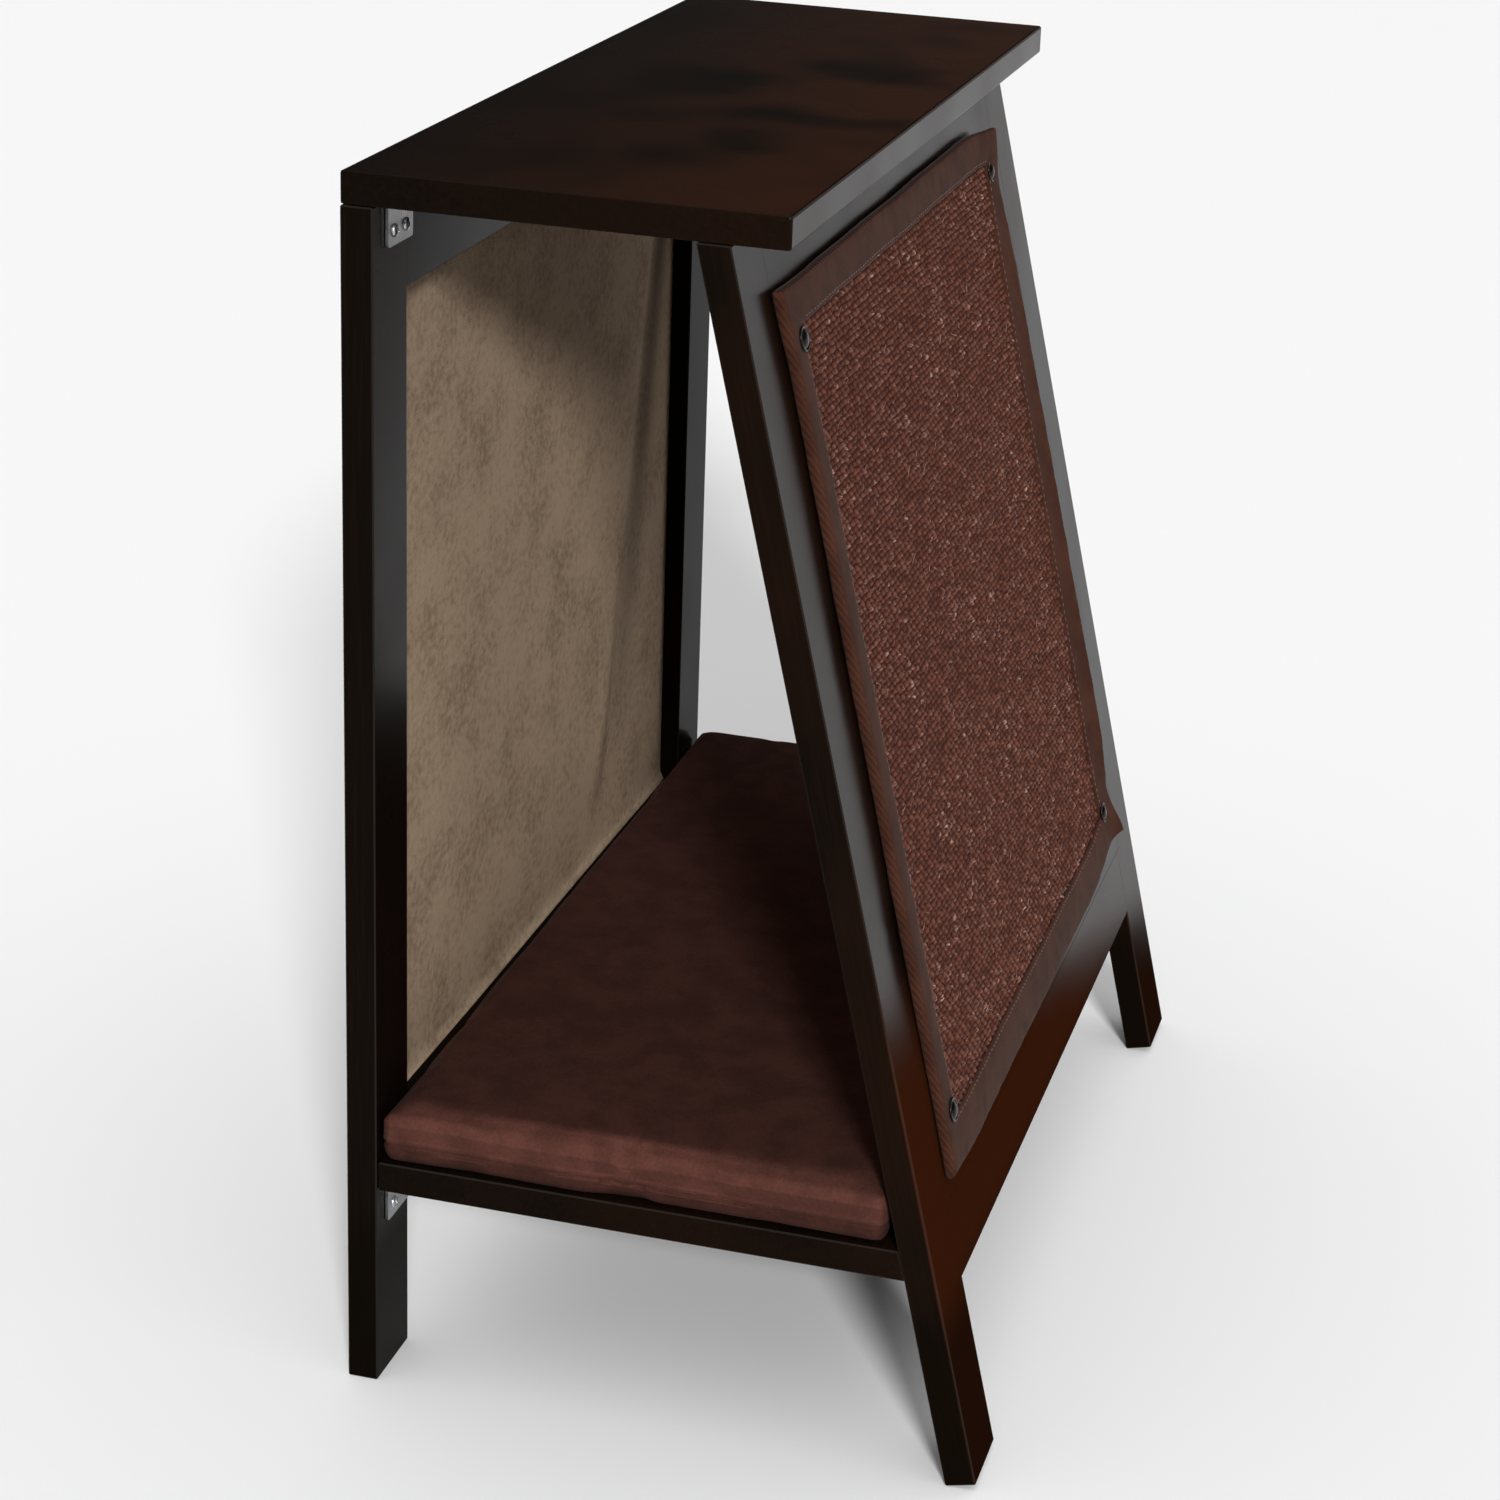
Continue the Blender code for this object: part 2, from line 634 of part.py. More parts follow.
WOOD = material("Espresso lacquered board", (0.012, 0.007, 0.005), 0.35)
DOWEL_WOOD = material("Beech dowel", (0.55, 0.38, 0.22), 0.7)
CANVAS = material("Natural canvas", (0.27, 0.21, 0.14), 0.9)
SISAL_FIBRE = material("Dyed sisal weave", (0.075, 0.028, 0.022), 0.85)
SUEDE = material("Brown faux suede", (0.085, 0.033, 0.026), 0.9)
NICKEL = material("Bright nickel", (0.62, 0.61, 0.58), 0.3, 1.0)
BLACK_NICKEL = material("Black nickel", (0.05, 0.045, 0.045), 0.3, 1.0)
STEEL = material("Zinc plated steel", (0.60, 0.60, 0.60), 0.35, 1.0)

LEFT = Side("left", -1, 0.0, LEFT_FACE, TOP_UNDERSIDE)
RIGHT = Side("right", 1, LEAN, LEFT_FACE + TOP_WIDTH - TOP_OVERHANG, LEANING_LENGTH)
SIDES = (LEFT, RIGHT)

screw_holes = build_screw_cutter()
build_tabletop(screw_holes)
for one_side in SIDES:
    build_frame(one_side, screw_holes)
    build_dowels(one_side)
    build_panel(one_side)
    build_studs(one_side)
    build_pad(one_side)
    build_snap_caps(one_side)
build_bed_board(screw_holes)
build_brackets()
build_cushion()
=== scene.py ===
"""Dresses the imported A-frame pet bed: finishes, cushion, scratching pads, canvas, hardware and stage.

Metres, +Z up, front towards -Y.
A side's own axes: x out of its outer face, y back from the front, z up the side.
"""
from functools import partial
from math import cos, exp, hypot, pi, radians, sin, tan
from random import Random

import bmesh
import bpy
from mathutils import Matrix, Vector, noise


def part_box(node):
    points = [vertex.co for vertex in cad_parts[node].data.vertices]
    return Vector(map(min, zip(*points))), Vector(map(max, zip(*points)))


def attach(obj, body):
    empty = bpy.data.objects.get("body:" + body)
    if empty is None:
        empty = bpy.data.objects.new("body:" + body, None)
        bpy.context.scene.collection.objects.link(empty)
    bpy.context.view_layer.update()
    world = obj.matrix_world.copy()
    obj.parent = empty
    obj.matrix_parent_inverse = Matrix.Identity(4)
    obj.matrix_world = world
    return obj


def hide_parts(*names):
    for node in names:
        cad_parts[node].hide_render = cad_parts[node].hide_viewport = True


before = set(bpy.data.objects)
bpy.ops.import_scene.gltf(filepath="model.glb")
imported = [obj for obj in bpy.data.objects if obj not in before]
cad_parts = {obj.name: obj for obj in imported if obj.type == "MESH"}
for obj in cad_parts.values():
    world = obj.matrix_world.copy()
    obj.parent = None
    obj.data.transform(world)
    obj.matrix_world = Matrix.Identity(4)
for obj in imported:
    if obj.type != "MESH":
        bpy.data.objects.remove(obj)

bl_info = {
    "name": "A-frame pet bed",
    "version": (1, 0, 0),
    "blender": (4, 5, 0),
    "location": "View3D > Sidebar > Pet Bed",
    "description": "Finishes, cloth, scratching pads and hardware on the packed model of an A-frame pet bed",
    "category": "Object",
}

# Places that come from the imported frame
TOP_LOW, TOP_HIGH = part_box("tabletop")
BED_LOW, BED_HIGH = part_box("bed_board")
CUSHION_LOW, CUSHION_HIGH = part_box("bed_cushion")
FRONT = TOP_LOW.y
DEPTH = TOP_HIGH.y - TOP_LOW.y
UNDERSIDE = TOP_LOW.z

# Sizes that the CAD source names
LEAN = radians(13.4)
BOARD = 0.016
TOP_OVERHANG = 0.028
LEG_WIDTH = 0.042
RAIL_HEIGHT = 0.047
WINDOW_FOOT = 0.140
LEFT_LENGTH = 0.619
RIGHT_LENGTH = 0.6327
LINING_FACE = 0.0043
LINING_THICKNESS = 0.001
FIT = 0.0003
PAD_FRONT = 0.044
PAD_REAR = 0.466
PAD_TOP = -0.032
PAD_FOOT = -0.488
PAD_BAND = 0.020
PAD_FOOT_BAND = 0.027
CAP_FROM_SIDE = 0.0125
CAP_FROM_TOP = 0.026
CAP_FROM_FOOT = 0.033
BRACKET_LENGTH = 0.030
BRACKET_LEG = 0.022
BRACKET_SHEET = 0.0016
TOP_BRACKET_SETBACK = 0.015
BED_BRACKET_SETBACK = 0.011
SCREW_PITCH = 0.014
SCREW_FROM_BEND = 0.015
SCREW_RISE = 0.0015

# How far a pad's back and its face stand off the side: a little lower than in the CAD, inside the same space
PAD_BACK = 0.0008
PAD_FACE = 0.0066

# Camera of the photograph, fitted to the outer corners of the boards
CAMERA_PLACE = (TOP_LOW.x + 0.6005, FRONT - 1.4043, 0.9748)
CAMERA_TURN = (70.933, -2.692, 14.102)
CAMERA_LENS = 80.61
CAMERA_SHIFT = (-0.10, -0.12)

# The Mix node's colour sockets, and how it and a Map Range node with soft ends are set
MIX_A = 6
MIX_B = 7
COLOURS = {"data_type": "RGBA", "output": 2}
SOFT = {"interpolation_type": "SMOOTHSTEP"}

# Turns a grid's plane onto a side, so that its normal is the side's own x
GRID_ON_SIDE = Matrix(((0, 0, 1), (1, 0, 0), (0, 1, 0))).to_4x4()
MERGE_DISTANCE = 0.00001


def linear(hex_colour):
    """A colour written as sRGB hex, as the linear values and the alpha that shaders take."""
    channels = [int(hex_colour[place:place + 2], 16) / 255 for place in (1, 3, 5)]
    return [*(c / 12.92 if c <= 0.04045 else ((c + 0.055) / 1.055) ** 2.4 for c in channels), 1.0]


class Side:
    """A side of the bed: the upright left one or the leaning right one."""

    def __init__(self, name, face_x, lean, out, length):
        self.name = name
        self.lean = lean
        self.out = out
        self.length = length
        mirror = Matrix.Diagonal((out, 1, 1, 1))
        self.place = Matrix.Translation((face_x, FRONT, UNDERSIDE)) @ Matrix.Rotation(-lean, 4, "Y") @ mirror
        self.down = Vector((sin(lean), 0, -cos(lean)))
        self.across = Vector((-out, 0, 0))
        self.inward = Vector((-out * cos(lean), 0, -out * sin(lean)))

    def inner_face_x(self, height):
        """World x of the inner face at a height."""
        start = self.place.translation
        return start.x - self.out * BOARD / cos(self.lean) + (start.z - height) * tan(self.lean)


LEFT = Side("left", TOP_LOW.x, 0.0, -1, LEFT_LENGTH)
RIGHT = Side("right", TOP_HIGH.x - TOP_OVERHANG, LEAN, 1, RIGHT_LENGTH)
SIDES = (LEFT, RIGHT)


def fill_sockets(made, inputs):
    """Gives a node's sockets values or links, by name or number, or in the order that a tuple has them."""
    for socket, value in inputs.items() if isinstance(inputs, dict) else enumerate(inputs):
        if isinstance(value, bpy.types.NodeSocket):
            made.id_data.links.new(value, made.inputs[socket])
        else:
            made.inputs[socket].default_value = value


def add_node(tree, kind, inputs=(), output=0, **settings):
    """Adds a shader node with its settings, values and links, and returns one of its outputs."""
    made = tree.nodes.new("ShaderNode" + kind)
    for name, value in settings.items():
        setattr(made, name, value)
    fill_sockets(made, inputs)
    return made.outputs[output]


def new_material(name):
    """A material, the function that adds nodes to it, and its main shader."""
    made = bpy.data.materials.new(name)
    made.use_nodes = True
    return made, partial(add_node, made.node_tree), made.node_tree.nodes["Principled BSDF"]


# Espresso lacquered board: solid wood under a nearly black brown stain and a thin satin lacquer.
# It gives the eye a dark warm face with faint pores and brown clouds, a grey sheen where a broad face is
# seen at a low angle, and eased edges painted pale as a highlight. The clouds get stronger from the left to
# the right.
PORE_ACROSS = 0.0016
PORE_ALONG = 0.060
PORE_RELIEF = 0.00003
PORE_RANGE = (0.35, 0.72)
CLOUD_SIZE = 0.075
CLOUD_RANGE = (0.24, 0.58)
CLOUD_DRIFT = (-0.05, 0.25)
FAINT_CLOUDS = 0.2
BROAD_NORMAL = (0.90, 0.97)
EDGE_NORMAL = (0.95, 0.75)
EDGE_SHINE = 0.015
BROAD_SHINE = 0.08
SHADED_SHINE = 0.055
REAR_SHINE = 0.015
SATIN_CLOUDS = (0.3, 0.7)
SATIN_ROUGHNESS = (0.20, 0.28)
# How strongly the eased edges are painted pale, as a highlight
EDGE_HIGHLIGHT = 0.30

# Close to the floor the lacquer mirrors less, and its colour is darkened there as painted shade
NEAR_FLOOR_HEIGHTS = (0.07, 0.11)
NEAR_FLOOR_SHINE = 0.25
NEAR_FLOOR_SHADE = 0.7

# Towards its feet the outer face of the leaning side is dull and without shine, and its colour is painted
# lighter and redder there as painted light
LOW_OUTER_SKIN = (0.0016, 0.0008)
LOW_OUTER_FALL = 0.33
LOW_OUTER_HEIGHTS = (0.205, 0.285)
LOW_OUTER_SHINE = 0.0
LOW_OUTER_DULLNESS = 0.4


def painted_light_share(add, place, upright):
    """How much painted light a point of the leaning side gets: its outer face only, most at the feet and the
    rear.
    """
    outer = RIGHT.place.translation.x * cos(LEAN) + UNDERSIDE * sin(LEAN)
    outward = add("SeparateXYZ", (upright,), "X")
    skin = add("MapRange", (outward, outer - LOW_OUTER_SKIN[0], outer - LOW_OUTER_SKIN[1]), **SOFT)
    level = add("VectorMath", (place, (0, LOW_OUTER_FALL, 1)), "Value", operation="DOT_PRODUCT")
    start, end = (height + LOW_OUTER_FALL * FRONT for height in LOW_OUTER_HEIGHTS)
    low = add("MapRange", (level, start, end, 1, 0), **SOFT)
    return add("Math", (skin, low), operation="MULTIPLY")


def face_shares(add, turn):
    """How much a point lies on a broad upright face, a level face and an eased edge, from its normal."""
    own = add("Mapping", {"Vector": add("TexCoord", output="Normal"), "Rotation": turn})
    sizes = add("VectorMath", (own,), operation="ABSOLUTE")
    across, back, up = add("SeparateXYZ", (sizes,)).node.outputs
    largest = add("Math", (across, back), operation="MAXIMUM")
    largest = add("Math", (largest, up), operation="MAXIMUM")
    broad, level = (add("MapRange", (size, *BROAD_NORMAL), **SOFT) for size in (across, up))
    return broad, level, add("MapRange", (largest, *EDGE_NORMAL), **SOFT)


def espresso_lacquered_board(name, along, clouded=FAINT_CLOUDS, shine=BROAD_SHINE, leaning=False):
    """The grain runs along one axis. Clouded tells how strongly the brown clouds show on level faces."""
    finishes = bpy.context.scene.pet_bed_finishes
    made, add, shader = new_material(name)
    place = add("TexCoord", output="Object")
    turn = (0, LEAN if leaning else 0, 0)
    upright = add("Mapping", {"Vector": place, "Rotation": turn})
    sizes = [1 / PORE_ALONG if axis == along else 1 / PORE_ACROSS for axis in "xyz"]
    stretched = add("Mapping", {"Vector": upright, "Scale": sizes})
    pores = add("TexNoise", {"Vector": stretched, "Scale": 1, "Detail": 4, "Roughness": 0.6})
    clouds = add("TexNoise", {"Vector": upright, "Scale": 1 / CLOUD_SIZE, "Detail": 1.5, "Roughness": 0.4})
    broad, level, edge = face_shares(add, turn)
    across, _, height = add("SeparateXYZ", (place,)).node.outputs
    cloudy = add("MapRange", (level, 0, 1, FAINT_CLOUDS, clouded), **SOFT)
    drift = (TOP_LOW.x + reach for reach in CLOUD_DRIFT)
    for bounds in ((clouds, *CLOUD_RANGE), (across, *drift)):
        cloudy = add("Math", (cloudy, add("MapRange", bounds, **SOFT)), operation="MULTIPLY")
    porous = add("MapRange", (pores, *PORE_RANGE), **SOFT)
    layers = [(porous, finishes.board_pore), (cloudy, finishes.board_cloud)]
    shine = add("MapRange", (broad, 0, 1, EDGE_SHINE, shine), **SOFT)
    dullness = add("MapRange", (clouds, *SATIN_CLOUDS, *SATIN_ROUGHNESS), **SOFT)
    if leaning:
        painted_light = painted_light_share(add, place, upright)
        # Painted light: a lighter, redder tone on the lower outer face
        layers.append((painted_light, finishes.board_painted_light))
        left_shine = add("MapRange", (painted_light, 0, 1, BROAD_SHINE, LOW_OUTER_SHINE), **SOFT)
        shine = add("Math", (shine, left_shine), operation="MINIMUM")
        scratched = add("MapRange", (painted_light, 0, 1, 0, LOW_OUTER_DULLNESS), **SOFT)
        dullness = add("Math", (dullness, scratched), operation="ADD")
    shine_off_floor = add("MapRange", (height, *NEAR_FLOOR_HEIGHTS, NEAR_FLOOR_SHINE, 1), **SOFT)
    shine = add("Math", (shine, shine_off_floor), operation="MULTIPLY")
    # Painted shade: darker close to the floor
    floor_shade_share = add("MapRange", (height, *NEAR_FLOOR_HEIGHTS, NEAR_FLOOR_SHADE, 0), **SOFT)
    # Painted highlight along the eased edges
    painted_highlight = add("Math", (edge, EDGE_HIGHLIGHT), operation="MULTIPLY")
    layers += [(floor_shade_share, finishes.board_dark), (painted_highlight, finishes.board_edge_highlight)]
    colour = finishes.board_dark
    for share, layer in layers:
        colour = add("Mix", {0: share, MIX_A: colour, MIX_B: layer}, **COLOURS)
    sockets = {
        "Base Color": colour,
        "Specular IOR Level": shine,
        "Roughness": dullness,
        "Normal": add("Bump", {"Height": pores, "Distance": PORE_RELIEF, "Strength": 0.4}),
    }
    fill_sockets(shader, sockets)
    return made


# Beech dowel: pale hardwood, planed and left bare, so it looks matt and faintly flecked.
BEECH_FLECK = 0.003


def bare_beech_dowel():
    made, add, shader = new_material("bare_beech_dowel")
    place = add("TexCoord", output="Object")
    flecks = add("TexNoise", {"Vector": place, "Scale": 1 / BEECH_FLECK, "Detail": 3})
    colour = add("Mix", {0: flecks, MIX_A: linear("#C39A6B"), MIX_B: linear("#A87C50")}, **COLOURS)
    fill_sockets(shader, {"Base Color": colour, "Roughness": 0.65})
    return made


# Unbleached cotton canvas: plain weave, dull and beige, with darker smudges from its unwashed yarn.
# A soft band near the rear leg, darkest at the top, is darkened as a painted shadow where a per-point
# attribute shows.
# The threads are about 0.8 mm apart and are drawn twice as coarse, so that they show.
CANVAS_THREAD = 0.0016
SMUDGE_SIZE = 0.045
FELT_SIZE = 0.0045
FELT_RELIEF = 4
SOILED_RANGE = (0.85, 1.35)
GAP_SHARE = 0.22

# The scale at which a wave texture repeats once a metre
WAVE_A_METRE = 2 * pi / 20


def unbleached_canvas():
    finishes = bpy.context.scene.pet_bed_finishes
    made, add, shader = new_material("unbleached_cotton_canvas")
    weave = add("TexCoord", output="UV")
    sockets = {"Vector": weave, "Scale": WAVE_A_METRE / CANVAS_THREAD, "Distortion": 1.2, "Detail": 1.5}
    threads = [add("TexWave", sockets, "Fac", bands_direction=direction) for direction in "XY"]
    woven = add("Math", threads, operation="MAXIMUM")
    smudges = add("TexNoise", {"Vector": weave, "Scale": 1 / SMUDGE_SIZE, "Detail": 6, "Roughness": 0.62})
    felted = add("TexNoise", {"Vector": weave, "Scale": 1 / FELT_SIZE, "Detail": 3, "Roughness": 0.6})
    mottled = add("Math", (smudges, felted), operation="ADD")
    colour = finishes.canvas
    for share, layer in (
        (add("MapRange", (mottled, *SOILED_RANGE), **SOFT), finishes.canvas_smudge),
        # The painted shadow near the rear leg
        (add("Attribute", output="Fac", attribute_name="fold_share"), finishes.canvas_painted_shadow),
        (add("MapRange", (woven, 0, 1, GAP_SHARE, 0), **SOFT), finishes.canvas_gap),
    ):
        colour = add("Mix", {0: share, MIX_A: colour, MIX_B: layer}, **COLOURS)
    relief = add("Math", (felted, FELT_RELIEF, woven), operation="MULTIPLY_ADD")
    bump = add("Bump", {"Height": relief, "Distance": 0.0003, "Strength": 0.6})
    fill_sockets(shader, {"Base Color": colour, "Roughness": 0.92, "Specular IOR Level": 0.1, "Normal": bump})
    return made


# Polyester faux suede: a brushed short nap that lies in patches, so one colour looks mottled and soft.
# Its colour is painted by the way each face points: a painted highlight along the rounded crests, painted
# shade on faces that point up, and painted shade towards its foot, where a per-point attribute shows.
NAP_PATCH = 0.022
NAP_PATCHES = (0.35, 0.65)
NAP_GRAIN = 0.0016
NAP_SPREAD = 0.16
NAP_SHADES = (0.72, 1.18)

# Painted light and shade on the nap: where on a normal or on the attribute each starts and ends, and its
# factor there
NAP_PAINTED_HIGHLIGHT = (0, 0.4, 1.0, 1.3)
NAP_PAINTED_TOP_SHADE = (0.55, 1, 1.0, 0.50)
NAP_FOOT_SHADE = (0, 1, 1.0, 0.5)


def brushed_faux_suede(name, colour, sheen, rib=0.0):
    """The nap and, if rib is given, the ribs of its twill, which the rim_share attribute brings out."""
    made, add, shader = new_material(name)
    place = add("TexCoord", output="Object")
    patches = add("TexNoise", {"Vector": place, "Scale": 1 / NAP_PATCH, "Detail": 4, "Roughness": 0.6})
    height = add("TexNoise", {"Vector": place, "Scale": 1 / NAP_GRAIN, "Roughness": 0.7})
    dark, light = ([channel * tone for channel in colour] for tone in (1 - NAP_SPREAD, 1 + NAP_SPREAD))
    share = add("MapRange", (patches, *NAP_PATCHES), **SOFT)
    brushed = add("Mix", {0: share, MIX_A: dark, MIX_B: light}, **COLOURS)
    if rib:
        sockets = {"Vector": place, "Scale": WAVE_A_METRE / rib, "Distortion": 0.6, "Detail": 1}
        wave = add("TexWave", sockets, "Fac", bands_direction="DIAGONAL")
        rim = add("Attribute", output="Fac", attribute_name="rim_share")
        height = add("Math", (wave, rim, height), operation="MULTIPLY_ADD")
    upward = add("SeparateXYZ", (add("TexCoord", output="Normal"),), "Z")
    # How near the cushion's foot a point is, for its painted shade
    foot = add("Attribute", output="Fac", attribute_name="foot_share")
    shade = add("MapRange", (height, 0, 2 if rib else 1, *NAP_SHADES), **SOFT)
    # Painted highlight on the crests, painted shade on faces that point up and at the foot
    for bounds in ((upward, *NAP_PAINTED_HIGHLIGHT), (upward, *NAP_PAINTED_TOP_SHADE), (foot, *NAP_FOOT_SHADE)):
        shade = add("Math", (shade, add("MapRange", bounds, **SOFT)), operation="MULTIPLY")
    sockets = {
        "Base Color": add("VectorMath", {0: brushed, "Scale": shade}, operation="SCALE"),
        "Roughness": 0.9,
        "Specular IOR Level": 0.06,
        "Sheen Weight": sheen,
        "Sheen Roughness": 0.4,
        "Normal": add("Bump", {"Height": height, "Distance": 0.0004, "Strength": 0.6}),
    }
    fill_sockets(shader, sockets)
    return made


# Dyed sisal, woven in rows of loops: hard dark yarn, with pale undyed strands in some loops.
# The yarn follows two attributes of the mat: how high a point stands, which paints shade into the grooves
# between the rows, and how much undyed straw it has, which also paints a glint on the tops of the loops.
SISAL_STRAND = 0.0007
SISAL_STRAND_LENGTH = 0.003
SISAL_TWIST = radians(55)
PALE_STRANDS = (0.45, 0.60)


def dyed_sisal_loops():
    finishes = bpy.context.scene.pet_bed_finishes
    made, add, shader = new_material("dyed_sisal_loops")
    sizes = (1 / SISAL_STRAND_LENGTH, 1 / SISAL_STRAND, 1)
    sockets = {"Vector": add("TexCoord", output="UV"), "Rotation": (0, 0, SISAL_TWIST), "Scale": sizes}
    strands = add("TexNoise", {"Vector": add("Mapping", sockets), "Scale": 1, "Detail": 3})
    loop_height, straw_share = (
        add("Attribute", output="Fac", attribute_name=name) for name in ("loop_height", "straw_share")
    )
    pale = add("MapRange", (strands, *PALE_STRANDS), **SOFT)
    # Pale strands, which also make a painted glint on the tops of the loops
    straw = add("Math", (pale, straw_share), operation="MULTIPLY")
    # Painted shade in the grooves, lighter towards the tops of the loops
    colour = finishes.sisal_groove_shade
    for share, layer in ((loop_height, finishes.sisal), (straw, finishes.straw)):
        colour = add("Mix", {0: share, MIX_A: colour, MIX_B: layer}, **COLOURS)
    bump = add("Bump", {"Height": strands, "Distance": 0.0005, "Strength": 0.8})
    fill_sockets(shader, {"Base Color": colour, "Roughness": 0.6, "Specular IOR Level": 0.03, "Normal": bump})
    return made


# Undyed sisal ends: stiff pale slivers with a silky shine.
STRAW_TINT = 0.011


def straw_fibre():
    finishes = bpy.context.scene.pet_bed_finishes
    made, add, shader = new_material("undyed_sisal_ends")
    tint = add("TexNoise", {"Vector": add("TexCoord", output="Object"), "Scale": 1 / STRAW_TINT})
    colour = add("Mix", {0: tint, MIX_A: finishes.sisal, MIX_B: finishes.straw}, **COLOURS)
    fill_sockets(shader, {"Base Color": colour, "Roughness": 0.45})
    return made


# Polyester sewing thread: twisted, slightly shiny, a shade lighter than the cloth that it holds.
THREAD_TWIST = 0.0011


def sewing_thread():
    made, add, shader = new_material("twisted_sewing_thread")
    place = add("TexCoord", output="Object")
    twist = add("TexNoise", {"Vector": place, "Scale": 1 / THREAD_TWIST, "Detail": 1})
    colour = add("Mix", {0: twist, MIX_A: linear("#684840"), MIX_B: linear("#452A24")}, **COLOURS)
    fill_sockets(shader, {"Base Color": colour, "Roughness": 0.55})
    return made


# Plated metals, stamped or turned: a metal shader whose roughness drifts with handling and plating.
PLATING_DRIFT = 0.004
PLATING_ROUGHNESS = (0.7, 1.4)


def plated_metal(name, hex_colour, roughness, spangle=0.0):
    """Spangle tells how much darker the crystals of a zinc coat get."""
    made, add, shader = new_material(name)
    place = add("TexCoord", output="Object")
    drift = add("TexNoise", {"Vector": place, "Scale": 1 / PLATING_DRIFT, "Detail": 3})
    crystal = [channel * (1 - spangle) for channel in linear(hex_colour)]
    colour = add("Mix", {0: drift, MIX_A: linear(hex_colour), MIX_B: crystal}, **COLOURS)
    ends = (roughness * share for share in PLATING_ROUGHNESS)
    rough = add("MapRange", (drift, 0, 1, *ends), **SOFT)
    fill_sockets(shader, {"Base Color": colour, "Metallic": 1.0, "Roughness": rough})
    return made


# Painted studio floor: seamless pale matt paint.
FLOOR_DRIFT = 0.5
FLOOR_ROUGHNESS = (0.9, 1.0)


def matt_studio_paint(colour):
    made, add, shader = new_material("matt_studio_paint")
    drift = add("TexNoise", {"Vector": add("TexCoord", output="Object"), "Scale": 1 / FLOOR_DRIFT})
    rough = add("MapRange", (drift, 0, 1, *FLOOR_ROUGHNESS), **SOFT)
    fill_sockets(shader, {"Base Color": colour, "Roughness": rough, "Specular IOR Level": 0.1})
    return made


def add_object(name, data):
    """Adds an object of a mesh, a light, a camera or a bmesh, which is used up."""
    if isinstance(data, bmesh.types.BMesh):
        mesh = bpy.data.meshes.new(name)
        data.to_mesh(mesh)
        data.free()
        data = mesh
    made = bpy.data.objects.new(name, data)
    bpy.context.scene.collection.objects.link(made)
    return made


def add_piece(name, bm, finish, body, side=None, crease=None):
    """Makes a closed bmesh a piece that rides on a body. With a side given, it stands in that side's axes."""
    if side:
        bmesh.ops.transform(bm, matrix=side.place, verts=bm.verts)
    bmesh.ops.recalc_face_normals(bm, faces=bm.faces)
    piece = add_object(name, bm)
    piece.data.shade_smooth()
    if crease:
        piece.data.set_sharp_from_angle(angle=crease)
    piece.data.materials.append(finish)
    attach(piece, body)
    return piece


def extent(backs, ups):
    """How wide and how high a rectangle is."""
    return backs[1] - backs[0], ups[1] - ups[0]


def side_grid(backs, ups, columns, lines):
    """A grid in a side's plane between two distances back and two heights, with a UV map in metres."""
    bm = bmesh.new()
    width, height = extent(backs, ups)
    middle = Matrix.Translation((0, sum(backs) / 2, sum(ups) / 2))
    size = Matrix.Diagonal((1, width / 2, height / 2, 1))
    place = middle @ size @ GRID_ON_SIDE
    bmesh.ops.create_grid(bm, x_segments=columns, y_segments=lines, size=1, matrix=place)
    weave = bm.loops.layers.uv.new("Weave")
    for face in bm.faces:
        for corner in face.loops:
            corner[weave].uv = corner.vert.co.yz
    return bm


def extrude(bm, edges):
    """Extrudes edges where they are, and returns what that adds, and the verts among it."""
    added = bmesh.ops.extrude_edge_only(bm, edges=edges)["geom"]
    return added, [item for item in added if isinstance(item, bmesh.types.BMVert)]


def close_behind(bm, depth):
    """Extrudes a grid's rim back along the side's own x and closes the back with one flat face."""
    _, verts = extrude(bm, [edge for edge in bm.edges if edge.is_boundary])
    for vert in verts:
        vert.co.x = depth
    bmesh.ops.contextual_create(bm, geom=[edge for edge in bm.edges if edge.is_boundary])


def aimed(spot, direction, axes="ZX"):
    """A place at a spot, turned so that the first of two axes points in a direction."""
    return Matrix.Translation(spot) @ direction.to_track_quat(*axes).to_matrix().to_4x4()


def smooth(bm, verts):
    """Takes each vert half of its way to the middle of its neighbours."""
    bmesh.ops.smooth_vert(bm, verts=verts, factor=0.5, use_axis_x=True, use_axis_y=True, use_axis_z=True)


def add_box(bm, size, middle):
    """Adds a box to a bmesh."""
    bmesh.ops.create_cube(bm, size=1.0, matrix=Matrix.Translation(middle) @ Matrix.Diagonal((*size, 1)))


def bump_at(distance, width):
    """A smooth bump of height one, that wide."""
    return exp(-((distance / width) ** 2))


# Lacquer that fills the joints between legs and rails
JOINT_ROUND = 0.0007
JOINT_SINK = 0.00003


def build_joint_fill(side, finish):
    """Two slivers at each end of each rail, on the outer and the inner face."""
    window_foot = WINDOW_FOOT - side.length
    middle_back = LEG_WIDTH + (FIT - JOINT_ROUND) / 2
    size = (JOINT_ROUND - JOINT_SINK, JOINT_ROUND + FIT, RAIL_HEIGHT - 2 * JOINT_ROUND)
    bm = bmesh.new()
    for up in (-RAIL_HEIGHT / 2, window_foot - RAIL_HEIGHT / 2):
        for back in (middle_back, DEPTH - middle_back):
            for face in (-(JOINT_ROUND + JOINT_SINK) / 2, (JOINT_ROUND + JOINT_SINK) / 2 - BOARD):
                add_box(bm, size, (face, back, up))
    add_piece(side.name + "_joint_fill", bm, finish, "frame", side, crease=radians(30))


